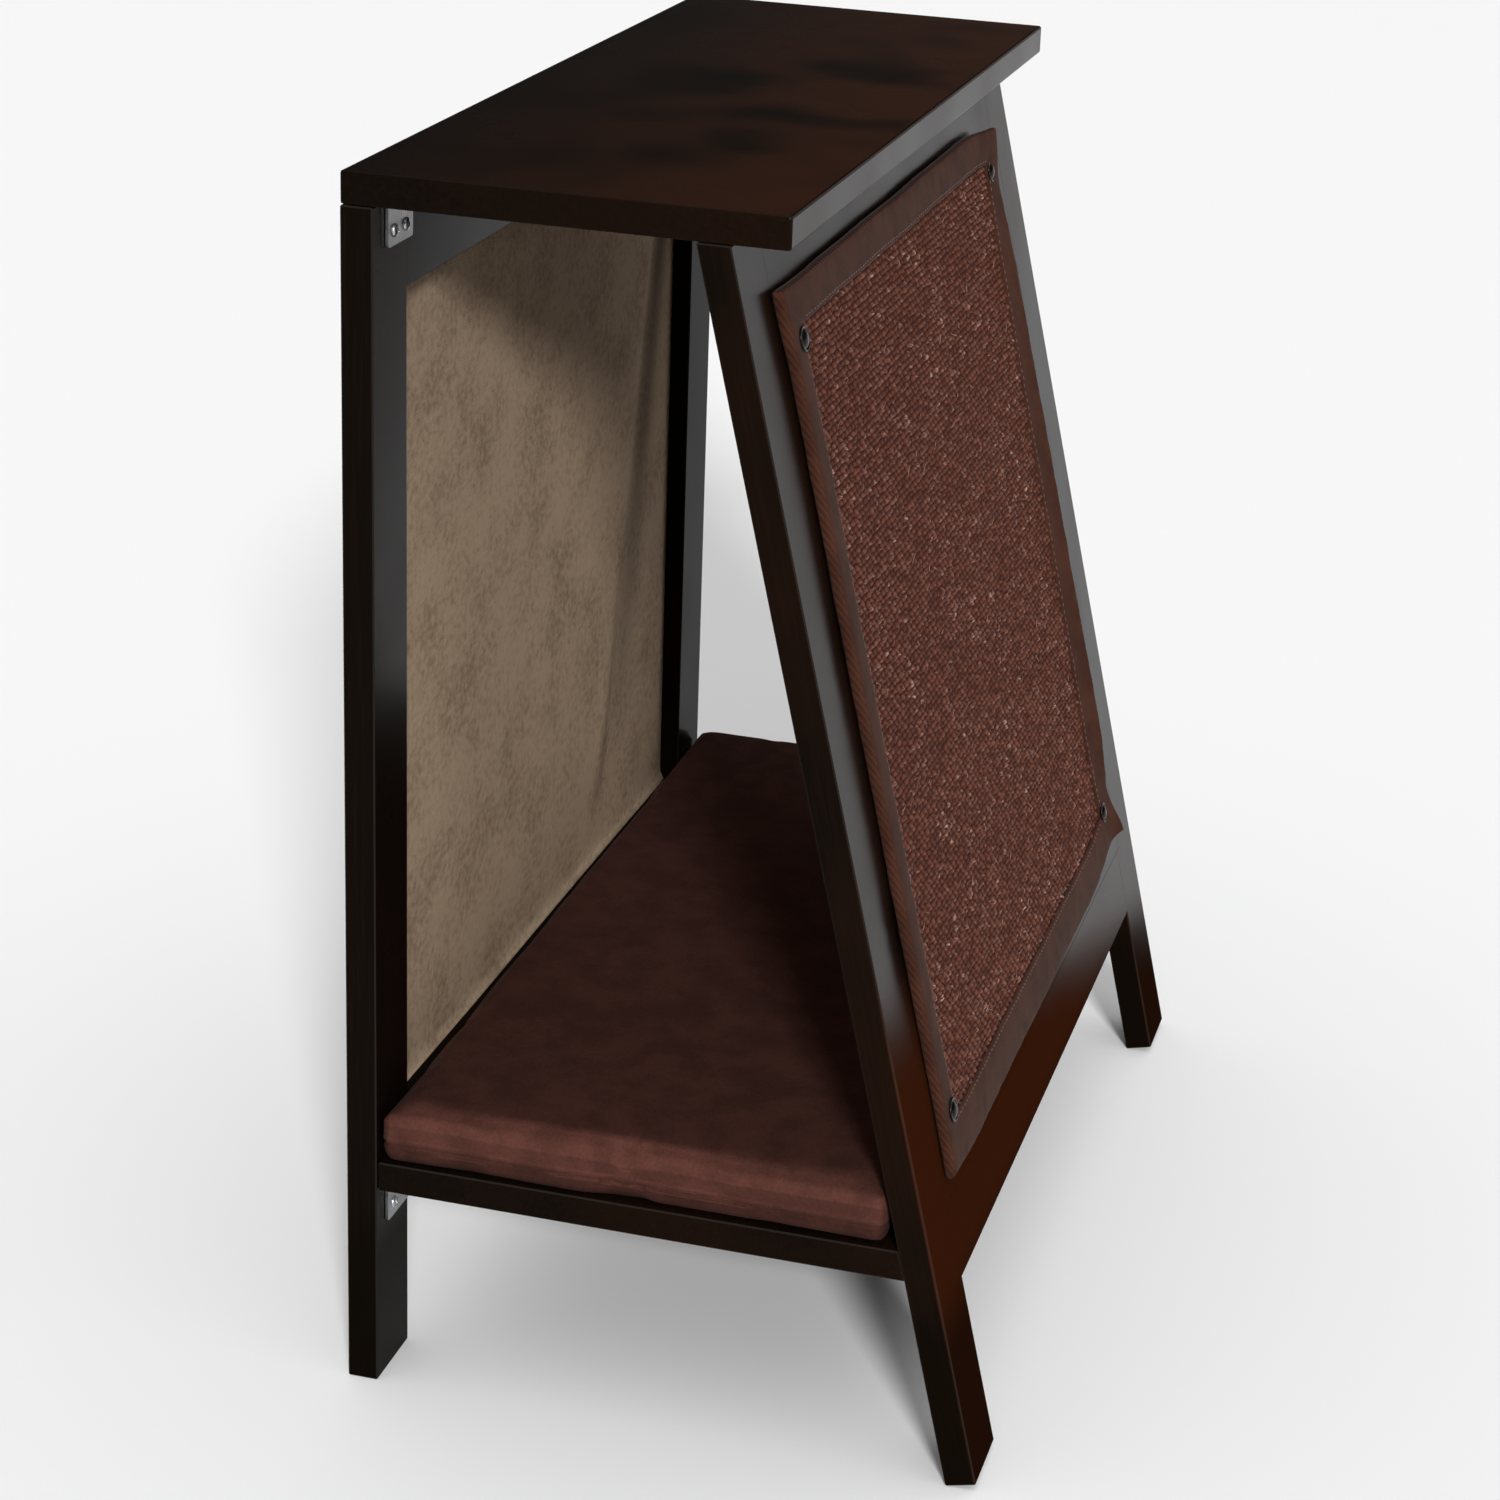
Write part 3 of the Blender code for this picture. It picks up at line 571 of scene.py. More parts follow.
# Canvas linings
CANVAS_SPACING = 0.005
HEM_HEIGHT = 0.007
HEM_REACH = 0.0025
CANVAS_SLACK = 0.0009
SLACK_WAVES = (9, 5)
SLACK_SLICE = 0.3
BELLY_RISE = 0.0045
BELLY_FALL = 0.030
BELLY_END = (0.487, 0.236)
BELLY_FOOT = 0.080
# A painted shadow on the canvas: the width of its soft band, how far behind the belly's end it lies, and how
# it fades towards the foot
PAINTED_SHADOW_WIDTH = 0.020
PAINTED_SHADOW_BEHIND_END = 0.011
PAINTED_SHADOW_FADE = 0.8
CANVAS_HELD = 0.010


def eased(share):
    """A share from 0 to 1 that starts and ends slowly."""
    share = max(0.0, min(share, 1.0))
    return share * share * (3 - 2 * share)


def belly_end(up):
    """How far back the canvas's belly ends at a height."""
    return BELLY_END[0] + BELLY_END[1] * up


def canvas_rise(back, up, foot):
    """How far the canvas stands off the panel: slack waves, a belly towards the rear, and a turned hem."""
    waves_place = Vector((back * SLACK_WAVES[0], up * SLACK_WAVES[1], SLACK_SLICE))
    waves = CANVAS_SLACK * (1 + noise.noise(waves_place))
    growing = (back - LEG_WIDTH) / (belly_end(up) - BELLY_FALL - LEG_WIDTH)
    falling = (belly_end(up) - back) / BELLY_FALL
    belly = BELLY_RISE * eased(min(growing, falling)) * eased((up - foot) / BELLY_FOOT)
    from_edge = min(back - LEG_WIDTH, DEPTH - LEG_WIDTH - back, -RAIL_HEIGHT - up)
    hem = max(0.0, (foot + HEM_HEIGHT - up) / HEM_HEIGHT)
    return min(1.0, from_edge / CANVAS_HELD) * (waves + belly) + HEM_REACH * hem ** 2


def build_canvas(side, finish):
    foot = WINDOW_FOOT + FIT - side.length
    backs = (LEG_WIDTH + FIT, DEPTH - LEG_WIDTH - FIT)
    ups = (foot, -RAIL_HEIGHT - FIT)
    columns, lines = (round(length / CANVAS_SPACING) for length in extent(backs, ups))
    bm = side_grid(backs, ups, columns, lines)
    in_hem = [edge for edge in bm.edges if near_hem(edge, foot)]
    bmesh.ops.subdivide_edges(bm, edges=in_hem, cuts=3, use_grid_fill=True)
    painted_shadows = bm.verts.layers.float.new("fold_share")
    for vert in bm.verts:
        _, back, up = vert.co
        vert.co.x = -LINING_FACE - canvas_rise(back, up, foot)
        height_share = max(0.0, (up - foot) / (ups[1] - foot))
        # A painted shadow, in a soft band just behind the belly's end and strongest at the top
        vert[painted_shadows] = height_share ** PAINTED_SHADOW_FADE * bump_at(back - PAINTED_SHADOW_BEHIND_END - belly_end(up), PAINTED_SHADOW_WIDTH)
    close_behind(bm, LINING_THICKNESS - LINING_FACE)
    piece = add_piece(side.name + "_canvas", bm, finish, "frame", side, crease=radians(60))
    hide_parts(side.name + "_canvas_lining")


def near_hem(edge, foot):
    """Whether an upright edge of the canvas grid lies in the hem."""
    first, second = edge.verts
    upright = abs(first.co.z - second.co.z) > abs(first.co.y - second.co.y)
    middle = (first.co.z + second.co.z) / 2
    return upright and middle < foot + HEM_HEIGHT


# Cushion: a box as high as its rim swells as cloth, within limits. Then it gets its wrinkles, its thicker
# rear, its lifted front and its seam.
CUSHION_VOXEL = 0.004
CUSHION_SIDE_GAP = 0.0012
CUSHION_END_GAP = 0.0005
CUSHION_RIM = 0.0260
SWELLING_LIMIT = 0.0055
SWELLING_SIDEWAYS = 0.10
CUSHION_THICKER = 0.28
CAGE_ROUND = 0.0025
CUSHION_FRAMES = 20
CUSHION_SMOOTH = 0.6
WRINKLES = ((0.0011, 14), (0.0005, 45))
SEAM_HEIGHT = 0.0105
SEAM_PROFILE = ((0.0, -0.0012), (0.0009, -0.0002), (0.0022, 0.0004))
SEAM_NEAR = 0.00003
LIFT_RISE = 0.0020
LIFT_WIDTH = 0.022
FOOT_SMOOTHINGS = 6
# How high the painted shade at the cushion's foot reaches
FOOT_SHADE_HEIGHT = 0.020


def cushion_cage():
    """The box that swells into the cushion: as high as the cushion's rim, and as wide as the sides allow."""
    top = CUSHION_LOW.z + CUSHION_RIM
    left, right = (side.inner_face_x(top) for side in SIDES)
    low = Vector((left + CUSHION_SIDE_GAP, BED_LOW.y + CUSHION_END_GAP, CUSHION_LOW.z))
    high = Vector((right - CUSHION_SIDE_GAP, BED_HIGH.y - CUSHION_END_GAP, top))
    bm = bmesh.new()
    add_box(bm, high - low, (low + high) / 2)
    bmesh.ops.bevel(
        bm, geom=bm.edges[:], offset=CAGE_ROUND, segments=2, affect="EDGES", profile=0.5, material=-1
    )
    cage = add_object("cushion_cage", bm)
    remesh = cage.modifiers.new("Even faces", "REMESH")
    remesh.mode = "VOXEL"
    remesh.voxel_size = CUSHION_VOXEL
    return cage


def evaluated_mesh(obj):
    """A new mesh with an object's modifiers applied."""
    graph = bpy.context.evaluated_depsgraph_get()
    graph.update()
    return bpy.data.meshes.new_from_object(obj.evaluated_get(graph))


def swollen(cage, pressure):
    """Lets the cage swell as cloth, and returns the resting and the swollen mesh."""
    rest = evaluated_mesh(cage)
    cloth_object = add_object("cushion_cloth", rest.copy())
    cloth = cloth_object.modifiers.new("Cloth", "CLOTH")
    cloth.settings.use_pressure = True
    cloth.settings.uniform_pressure_force = pressure
    cloth.settings.effector_weights.gravity = 0
    cloth.point_cache.frame_start = 1
    cloth.point_cache.frame_end = CUSHION_FRAMES
    for step in range(1, CUSHION_FRAMES + 1):
        bpy.context.scene.frame_set(step)
    full = evaluated_mesh(cloth_object)
    bpy.context.scene.frame_set(1)
    bpy.data.objects.remove(cloth_object)
    return rest, full


def limit_swelling(bm, rest):
    """Limits each point's rise and keeps a small share of its way sideways, so the box stays square."""
    kept = Vector((SWELLING_SIDEWAYS, SWELLING_SIDEWAYS, 1))
    for vert, start in zip(bm.verts, rest.vertices):
        moved = (vert.co - start.co) * kept
        if moved.length > SWELLING_LIMIT:
            moved *= SWELLING_LIMIT / moved.length
        vert.co = start.co + moved


def settle_cushion(bm):
    """Wrinkles the cushion, thickens it towards the rear, lifts its front, and keeps it within its space."""
    middle = (CUSHION_LOW.x + CUSHION_HIGH.x) / 2
    for vert in bm.verts:
        spot = vert.co
        above = spot.z - CUSHION_LOW.z
        slack = sum(depth * noise.noise(spot * count) for depth, count in WRINKLES)
        spot += vert.normal * slack * min(1.0, above / SEAM_HEIGHT)
        lift = LIFT_RISE * bump_at(spot.y - FRONT, LIFT_WIDTH) * eased((spot.x - middle) / LIFT_WIDTH)
        above = max(above * (1 + CUSHION_THICKER * (spot.y - FRONT) / DEPTH), lift)
        spot.z = min(CUSHION_LOW.z + above, CUSHION_HIGH.z)
        spot.x = max(spot.x, LEFT.inner_face_x(spot.z) + CUSHION_SIDE_GAP)
        spot.x = min(spot.x, RIGHT.inner_face_x(spot.z) - CUSHION_SIDE_GAP)
        spot.y = min(max(spot.y, BED_LOW.y), BED_HIGH.y)


def sew_seam(bm):
    """Cuts loops round the cushion's walls at the seam and draws them in, with a ridge on either side."""
    level = CUSHION_LOW.z + SEAM_HEIGHT
    for distance, _ in SEAM_PROFILE:
        for height in sorted({level - distance, level + distance}):
            geometry = bm.verts[:] + bm.edges[:] + bm.faces[:]
            bmesh.ops.bisect_plane(bm, geom=geometry, plane_co=(0, 0, height), plane_no=(0, 0, 1))
    bm.normal_update()
    for vert in bm.verts:
        away = abs(vert.co.z - level)
        for distance, shift in SEAM_PROFILE:
            if abs(away - distance) < SEAM_NEAR:
                outward = Vector((vert.normal.x, vert.normal.y, 0)).normalized()
                vert.co += outward * shift


def smooth_foot(bm):
    """Takes the small buckles out of the cushion's foot, so that it lies evenly on its board."""
    foot = [vert for vert in bm.verts if vert.co.z < CUSHION_LOW.z + SEAM_HEIGHT]
    for _ in range(FOOT_SMOOTHINGS):
        smooth(bm, foot)


def mark_foot_shade(bm):
    """Writes how near each point is to the cushion's foot, where painted shade darkens the cover."""
    feet = bm.verts.layers.float.new("foot_share")
    for vert in bm.verts:
        vert[feet] = 1 - eased((vert.co.z - CUSHION_LOW.z) / FOOT_SHADE_HEIGHT)


def build_cushion(finish, pressure):
    cage = cushion_cage()
    bm = bmesh.new()
    rest, full = swollen(cage, pressure)
    bm.from_mesh(full)
    limit_swelling(bm, rest)
    bpy.data.objects.remove(cage)
    bmesh.ops.subdivide_edges(bm, edges=bm.edges[:], cuts=1, use_grid_fill=True, smooth=CUSHION_SMOOTH)
    bm.normal_update()
    settle_cushion(bm)
    smooth_foot(bm)
    sew_seam(bm)
    mark_foot_shade(bm)
    piece = add_piece("cushion_cover", bm, finish, "cushion")
    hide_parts("bed_cushion")


# Scratching pads: the mat of sisal loops. Its grid lines cross each loop at a groove, a top and slopes.
MAT_TUCK = 0.0024
MAT_BASE = PAD_FACE - 0.0024
MAT_BACK = 0.0032
ROW_PROFILE = (0.0, 1.0, 0.72)
LOOP_PROFILE = (0.10, 0.85, 1.0, 0.70)
LOOP_HEIGHTS = (0.55, 1.20)
LOOP_JITTER = 0.0013
JITTER_SIZE = 0.0040
OTHER_JITTER = Vector((5, 5, 5))
# How many loops get straw with its painted glint, and how much
STRAW_AND_GLINT_LOOPS = ((0.05, 1.0), (0.22, 0.42), (0.60, 0.16))
STRAW_CLUSTER = 0.035
STRAW_EVERYWHERE = 0.7


def mat_opening(wider):
    """The mat's visible rectangle, made wider all round: the distances back and the heights of its edges."""
    backs = (PAD_FRONT + PAD_BAND - wider, PAD_REAR - PAD_BAND + wider)
    return backs, (PAD_FOOT + PAD_FOOT_BAND - wider, PAD_TOP - PAD_BAND + wider)


class Weave:
    """Rows of loops, every second row shifted by half a loop, with their own heights, and straw that also
    makes a painted glint.
    """

    def __init__(self, backs, ups, pads, seed):
        width, height = extent(backs, ups)
        loops = round(width / pads.loop_length)
        rows = round(height / pads.row_pitch)
        self.columns = len(LOOP_PROFILE) * loops
        self.lines = len(ROW_PROFILE) * rows
        self.start = (backs[0], ups[0])
        self.step = (width / self.columns, height / self.lines)
        draw = Random(seed)
        self.heights = [[draw.uniform(*LOOP_HEIGHTS) for _ in range(loops + 2)] for _ in range(rows + 1)]
        self.straws_and_glints = [[draw.random() for _ in range(loops + 2)] for _ in range(rows + 1)]

    def at(self, back, up):
        """The share of a loop's height, and the share of straw and its painted glint, at a place."""
        column = round((back - self.start[0]) / self.step[0])
        line = round((up - self.start[1]) / self.step[1])
        row, row_phase = divmod(line, len(ROW_PROFILE))
        loop, phase = divmod(column + row % 2 * len(LOOP_PROFILE) // 2, len(LOOP_PROFILE))
        height = ROW_PROFILE[row_phase] * LOOP_PROFILE[phase] * self.heights[row][loop]
        chance = self.straws_and_glints[row][loop]
        straw = next((share for limit, share in STRAW_AND_GLINT_LOOPS if chance < limit), 0.0)
        straw *= STRAW_EVERYWHERE + noise.noise(Vector((0, back, up)) / STRAW_CLUSTER)
        # The straw is squared towards the tops of the loops, as a painted glint
        return height, straw * (ROW_PROFILE[row_phase] * LOOP_PROFILE[phase]) ** 2


def build_mat(side, finish, seed):
    pads = bpy.context.scene.pet_bed_pads
    backs, ups = mat_opening(MAT_TUCK)
    weave = Weave(backs, ups, pads, seed)
    bm = side_grid(backs, ups, weave.columns, weave.lines)
    heights = bm.verts.layers.float.new("loop_height")
    straws_and_glints = bm.verts.layers.float.new("straw_share")
    for vert in bm.verts:
        spot = vert.co.copy()
        height, vert[straws_and_glints] = weave.at(spot.y, spot.z)
        vert[heights] = height
        inside = min(spot.y - backs[0], backs[1] - spot.y, spot.z - ups[0], ups[1] - spot.z)
        rise = min(1.0, inside / MAT_TUCK)
        vert.co.x = MAT_BASE + rise * height * pads.loop_rise + rear_curl(spot)
        vert.co.y += rise * LOOP_JITTER * noise.noise(spot / JITTER_SIZE)
        vert.co.z += rise * LOOP_JITTER * noise.noise(spot / JITTER_SIZE + OTHER_JITTER)
    close_behind(bm, MAT_BACK)
    piece = add_piece(side.name + "_sisal_mat", bm, finish, side.name + "_pad", side)
    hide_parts(side.name + "_pad_sisal_mat")
    return weave


# Loose ends of straw. The slant is the middle and the spread of how steeply they run up across the rows.
FIBRE_THICK = 0.00015
FIBRE_LENGTH = (0.002, 0.006)
FIBRE_FROM_EDGE = 0.005
FIBRE_LIFT = (0.0, 0.5)
FIBRE_SLANT = (0.3, 0.8)


def build_fibres(side, finish, seed, weave):
    """Loose straw ends that lie over the loops, mostly along the rows."""
    pads = bpy.context.scene.pet_bed_pads
    draw = Random(seed)
    backs, ups = mat_opening(-FIBRE_FROM_EDGE)
    bm = bmesh.new()
    for _ in range(pads.fibre_count):
        back = draw.uniform(*backs)
        up = draw.uniform(*ups)
        rise = MAT_BASE + pads.loop_rise * weave.at(back, up)[0] + FIBRE_THICK
        heading = Vector((draw.uniform(*FIBRE_LIFT), 1.0, draw.gauss(*FIBRE_SLANT)))
        bmesh.ops.create_cone(
            bm,
            cap_ends=True,
            segments=3,
            radius1=FIBRE_THICK,
            radius2=FIBRE_THICK / 3,
            depth=draw.uniform(*FIBRE_LENGTH),
            matrix=aimed((rise, back, up), heading),
        )
    add_piece(side.name + "_straw_ends", bm, finish, side.name + "_pad", side)


# Scratching pads: the fabric binding round the mat. Its section runs from the mat's back round the outer edge
# to the lip, as (share of the band, share of thickness).
BINDING_SPACING = 0.004
BINDING_SECTION = (
    (1.00, 0.22), (0.60, 0.21), (0.24, 0.18), (0.10, 0.06), (0.03, 0.04), (0.00, 0.20), (0.00, 0.55),
    (0.01, 0.76), (0.04, 0.90), (0.09, 0.97), (0.20, 1.00), (0.42, 1.02), (0.64, 1.01), (0.80, 0.98),
    (0.90, 0.94), (0.96, 0.88), (1.00, 0.78), (1.02, 0.60),
)
RIM_SHARE = 0.05
BINDING_WAVE = 0.060
BINDING_SLACK = 0.0008
BINDING_PUCKER = 0.00035
PUCKER_SIZE = 0.008
OTHER_WAVE = Vector((9, 0, 0))
STITCH_LENGTH = 0.0030
STITCH_PITCH = 0.0045
STITCH_FROM_LIP = 0.0024
STITCH_THICK = 0.0005
STITCH_LEVEL = 0.93


def binding_point(across, along, share, thick):
    """A place on the binding: across and along run from -1 to 1 between its corners."""
    low_back, high_back = PAD_FRONT + share * PAD_BAND, PAD_REAR - share * PAD_BAND
    low_up, high_up = PAD_FOOT + share * PAD_FOOT_BAND, PAD_TOP - share * PAD_BAND
    back = (low_back + high_back) / 2 + across * (high_back - low_back) / 2
    up = (low_up + high_up) / 2 + along * (high_up - low_up) / 2
    return Vector((PAD_BACK + thick * (PAD_FACE - PAD_BACK), back, up))


# Corners of the binding that are pulled out of shape: place back, place up, reach, and the pull on three axes
SOFT_CORNERS = (
    (PAD_REAR, PAD_TOP, 0.030, (0.0030, 0.0020, -0.0035)),
    (PAD_REAR, PAD_FOOT, 0.035, (0.0020, 0.0070, 0.0130)),
    (PAD_FRONT, PAD_FOOT, 0.030, (0.0000, -0.0010, 0.0020)),
    (PAD_FRONT, PAD_TOP, 0.030, (0.0000, -0.0040, 0.0010)),
)

# The rear edge of a pad curls off the side, most near its foot and least at the snaps
REAR_CURL = 0.007
CURL_WIDTH = 0.018
CURL_SHARES = (0.45, 1.0)
SNAP_HOLD = 0.028
SNAP_GRIP = 0.7


def rear_curl(point):
    """How far a point of the pad's rear edge stands off from where it would lie flat."""
    near = max(0.0, 1 - (PAD_REAR - point.y) / CURL_WIDTH)
    down = (PAD_TOP - point.z) / (PAD_TOP - PAD_FOOT)
    snaps = (PAD_TOP - CAP_FROM_TOP, PAD_FOOT + CAP_FROM_FOOT)
    held = sum(bump_at(point.z - snap, SNAP_HOLD) for snap in snaps)
    growth = CURL_SHARES[0] + (CURL_SHARES[1] - CURL_SHARES[0]) * down
    return REAR_CURL * near ** 2 * growth * (1 - SNAP_GRIP * held)


def soften(point):
    """Moves a point of the binding by its slack: long waves, small puckers, the curl and pulled corners."""
    wave = noise.noise(point / BINDING_WAVE)
    slack = Vector((0, wave, noise.noise(point / BINDING_WAVE + OTHER_WAVE))) * BINDING_SLACK
    pucker = BINDING_PUCKER * noise.noise(point / PUCKER_SIZE)
    moved = point + slack + Vector((pucker + rear_curl(point), 0, 0))
    for back, up, reach, pull in SOFT_CORNERS:
        moved += Vector(pull) * bump_at(hypot(point.y - back, point.z - up), reach)
    return moved


def build_binding(side, finish):
    bm = bmesh.new()
    corners = [bm.verts.new((0, *corner)) for corner in ((-1, -1), (1, -1), (1, 1), (-1, 1))]
    rim = [bm.edges.new((corners[place - 1], corners[place])) for place in range(4)]
    cuts = round((PAD_TOP - PAD_FOOT) / BINDING_SPACING)
    bmesh.ops.subdivide_edges(bm, edges=rim, cuts=cuts)
    loop = bm.edges[:]
    for _ in BINDING_SECTION:
        added, verts = extrude(bm, loop)
        loop = [item for item in added if isinstance(item, bmesh.types.BMEdge) and not_a_rung(item)]
        bmesh.ops.translate(bm, vec=(1, 0, 0), verts=verts)
    steps = len(BINDING_SECTION)
    rims = bm.verts.layers.float.new("rim_share")
    for vert in bm.verts:
        share, thick = BINDING_SECTION[round(vert.co.x) % steps]
        vert[rims] = 1.0 if share < RIM_SHARE else 0.0
        vert.co = soften(binding_point(vert.co.y, vert.co.z, share, thick))
    bmesh.ops.remove_doubles(bm, verts=bm.verts, dist=MERGE_DISTANCE)
    piece = add_piece(side.name + "_binding", bm, finish, side.name + "_pad", side)
    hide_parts(side.name + "_pad_binding")


def not_a_rung(edge):
    """Whether an edge lies in one loop, and doesn't join two."""
    return abs(edge.verts[0].co.x - edge.verts[1].co.x) < 0.5


def build_stitches(side, finish):
    """One row of stitches round the lip of the binding."""
    (front, rear), (foot, top) = mat_opening(STITCH_FROM_LIP)
    rise = PAD_BACK + STITCH_LEVEL * (PAD_FACE - PAD_BACK)
    corners = [Vector((rise, *corner)) for corner in ((front, foot), (rear, foot), (rear, top), (front, top))]
    shape = Matrix.Diagonal((STITCH_THICK, STITCH_THICK, STITCH_LENGTH / 2, 1))
    bm = bmesh.new()
    for place in range(4):
        start = corners[place - 1]
        run = corners[place] - start
        for number in range(1, int(run.length / STITCH_PITCH)):
            spot = soften(start + run.normalized() * number * STITCH_PITCH)
            bmesh.ops.create_icosphere(bm, subdivisions=1, radius=1.0, matrix=aimed(spot, run) @ shape)
    add_piece(side.name + "_stitches", bm, finish, side.name + "_pad", side)


# Snap caps: turned outlines in millimetres, as (radius, height). The cap's heights start at the pad's face,
# and those of its barrel and socket at the side's face.
CAP_OUTLINE = (
    (0.0, 2.60), (1.0, 2.56), (2.0, 2.40), (3.0, 2.05), (3.85, 1.55), (4.35, 1.15), (4.7, 0.95),
    (5.05, 1.15), (5.45, 1.42), (5.9, 1.42), (6.2, 1.15), (6.3, 0.75), (6.15, 0.4), (5.8, 0.3), (3.6, 0.3),
)
SOCKET_OUTLINE = ((3.6, 1.7), (5.5, 1.7), (5.6, 1.45), (5.5, 1.2), (3.0, 1.2), (3.0, 4.6), (0.0, 4.6))
CAP_STEPS = 48
MILLIMETRE = 0.001


def turned_bmesh(outline, steps):
    """A solid turned about x from an outline of radii and heights in millimetres."""
    bm = bmesh.new()
    points = [bm.verts.new((height * MILLIMETRE, radius * MILLIMETRE, 0)) for radius, height in outline]
    edges = [bm.edges.new(pair) for pair in zip(points, points[1:])]
    bmesh.ops.spin(
        bm, geom=points + edges, cent=(0, 0, 0), axis=(1, 0, 0), angle=2 * pi, steps=steps, use_merge=True
    )
    bmesh.ops.remove_doubles(bm, verts=bm.verts, dist=MERGE_DISTANCE)
    return bm


def cap_places():
    """Each cap as (label, back, up) on its pad."""
    for level, up in (("upper", PAD_TOP - CAP_FROM_TOP), ("lower", PAD_FOOT + CAP_FROM_FOOT)):
        for end, back in (("front", PAD_FRONT + CAP_FROM_SIDE), ("rear", PAD_REAR - CAP_FROM_SIDE)):
            yield f"{level}_{end}", back, up


def build_caps(side, finish):
    outline = [(radius, height + PAD_FACE / MILLIMETRE) for radius, height in CAP_OUTLINE]
    for label, back, up in cap_places():
        bm = turned_bmesh((*outline, *SOCKET_OUTLINE), CAP_STEPS)
        bmesh.ops.translate(bm, vec=(0, back, up), verts=bm.verts)
        name = f"{side.name}_{label}"
        body = side.name + "_pad"
        piece = add_piece(name + "_cap", bm, finish, body, side, crease=radians(40))
        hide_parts(name + "_snap_cap")


# Corner brackets with their screws
BRACKET_CORNER = 0.0015
BRACKET_BEND_STEPS = 6
BRACKET_BEND = 0.0026
BRACKET_EDGE = 0.00025
HEAD_OUTLINE = ((0.0, 1.5), (1.2, 1.46), (2.2, 1.25), (2.9, 0.85), (3.25, 0.35), (3.3, 0.0), (0.0, 0.0))
HEAD_STEPS = 32
RECESS_WIDTH = 0.0008
RECESS_LENGTH = 0.0036
RECESS_DEPTH = 0.0009
DOWN = Vector((0, 0, -1))


def screw_head_mesh():
    """A pan head with a cross recess, standing on x = 0 and facing along x."""
    bm = turned_bmesh(HEAD_OUTLINE, HEAD_STEPS)
    bmesh.ops.recalc_face_normals(bm, faces=bm.faces)
    head = add_object("screw_head", bm)
    tools = []
    for turn in (0, pi / 2):
        cutter = bmesh.new()
        add_box(cutter, (2 * RECESS_DEPTH, RECESS_WIDTH, RECESS_LENGTH), (SCREW_RISE, 0, 0))
        turned = Matrix.Rotation(turn + pi / 4, 3, "X")
        bmesh.ops.rotate(cutter, cent=(0, 0, 0), matrix=turned, verts=cutter.verts)
        tools.append(add_object("recess", cutter))
        cut = head.modifiers.new("Recess", "BOOLEAN")
        cut.operation = "DIFFERENCE"
        cut.solver = "EXACT"
        cut.object = tools[-1]
    mesh = evaluated_mesh(head)
    for obj in (head, *tools):
        bpy.data.objects.remove(obj)
    return mesh


def bracket_bmesh(side):
    """The bent strip in world directions, with its bend at the origin and its corners rounded."""
    outline = [side.down * BRACKET_LEG]
    for step in range(BRACKET_BEND_STEPS + 1):
        share = step / BRACKET_BEND_STEPS
        outline.append((side.down * (1 - share) ** 2 + side.across * share ** 2) * BRACKET_BEND)
    outline.append(side.across * BRACKET_LEG)
    bm = bmesh.new()
    verts = [bm.verts.new(point) for point in outline]
    edges = [bm.edges.new(pair) for pair in zip(verts, verts[1:])]
    _, moved = extrude(bm, edges)
    bmesh.ops.translate(bm, vec=(0, BRACKET_LENGTH, 0), verts=moved)
    ends = [vert for vert in bm.verts if len(vert.link_faces) == 1]
    bmesh.ops.bevel(
        bm, geom=ends, offset=BRACKET_CORNER, segments=5, affect="VERTICES", profile=0.5, material=-1
    )
    bmesh.ops.recalc_face_normals(bm, faces=bm.faces)
    largest = max(bm.faces, key=lambda face: face.calc_area())
    thickness = BRACKET_SHEET if largest.normal.dot(side.down + side.across) < 0 else -BRACKET_SHEET
    bmesh.ops.solidify(bm, geom=bm.faces[:], thickness=thickness)
    return bm


def bracket_seats():
    """Each bracket as (name, side, height of the board's underside, how far back its front end is)."""
    for side in SIDES:
        for board, height, setback in (
            ("top", UNDERSIDE, TOP_BRACKET_SETBACK),
            ("bed", BED_LOW.z, BED_BRACKET_SETBACK),
        ):
            yield f"{side.name}_{board}_front_bracket", side, height, setback
            yield f"{side.name}_{board}_rear_bracket", side, height, DEPTH - setback - BRACKET_LENGTH


def build_brackets(finish):
    head = screw_head_mesh()
    for name, side, height, setback in bracket_seats():
        corner = Vector((side.inner_face_x(height), FRONT + setback, height)) + (side.inward + DOWN) * FIT
        bm = bracket_bmesh(side)
        for offset in (-SCREW_PITCH / 2, SCREW_PITCH / 2):
            for leg, facing in ((side.down, side.inward), (side.across, DOWN)):
                seat = leg * SCREW_FROM_BEND + facing * BRACKET_SHEET
                seat.y = BRACKET_LENGTH / 2 + offset
                known = set(bm.verts)
                bm.from_mesh(head)
                added = [vert for vert in bm.verts if vert not in known]
                bmesh.ops.transform(bm, matrix=aimed(seat, facing, "XZ"), verts=added)
        bmesh.ops.translate(bm, vec=corner, verts=bm.verts)
        piece = add_piece(name + "_plate", bm, finish, "frame", crease=radians(35))
        soft = piece.modifiers.new("Rounded edges", "BEVEL")
        soft.width = BRACKET_EDGE
        soft.segments = 2
        soft.limit_method = "ANGLE"
        soft.angle_limit = radians(50)
        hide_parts(name)


# Stage
FLOOR_SIZE = 60.0
SUN_HEIGHT = radians(27)
SUN_FROM_RIGHT = radians(24)
SUN_SOFTNESS = radians(9)
SUN_DISTANCE = 3

# The studio round the bed, by angle above the horizon: a low pale wall, a dark wall above it, then the bright
# ceiling
PALE_WALL_TOP = (radians(2), radians(4))
CEILING_START = (radians(30), radians(52))


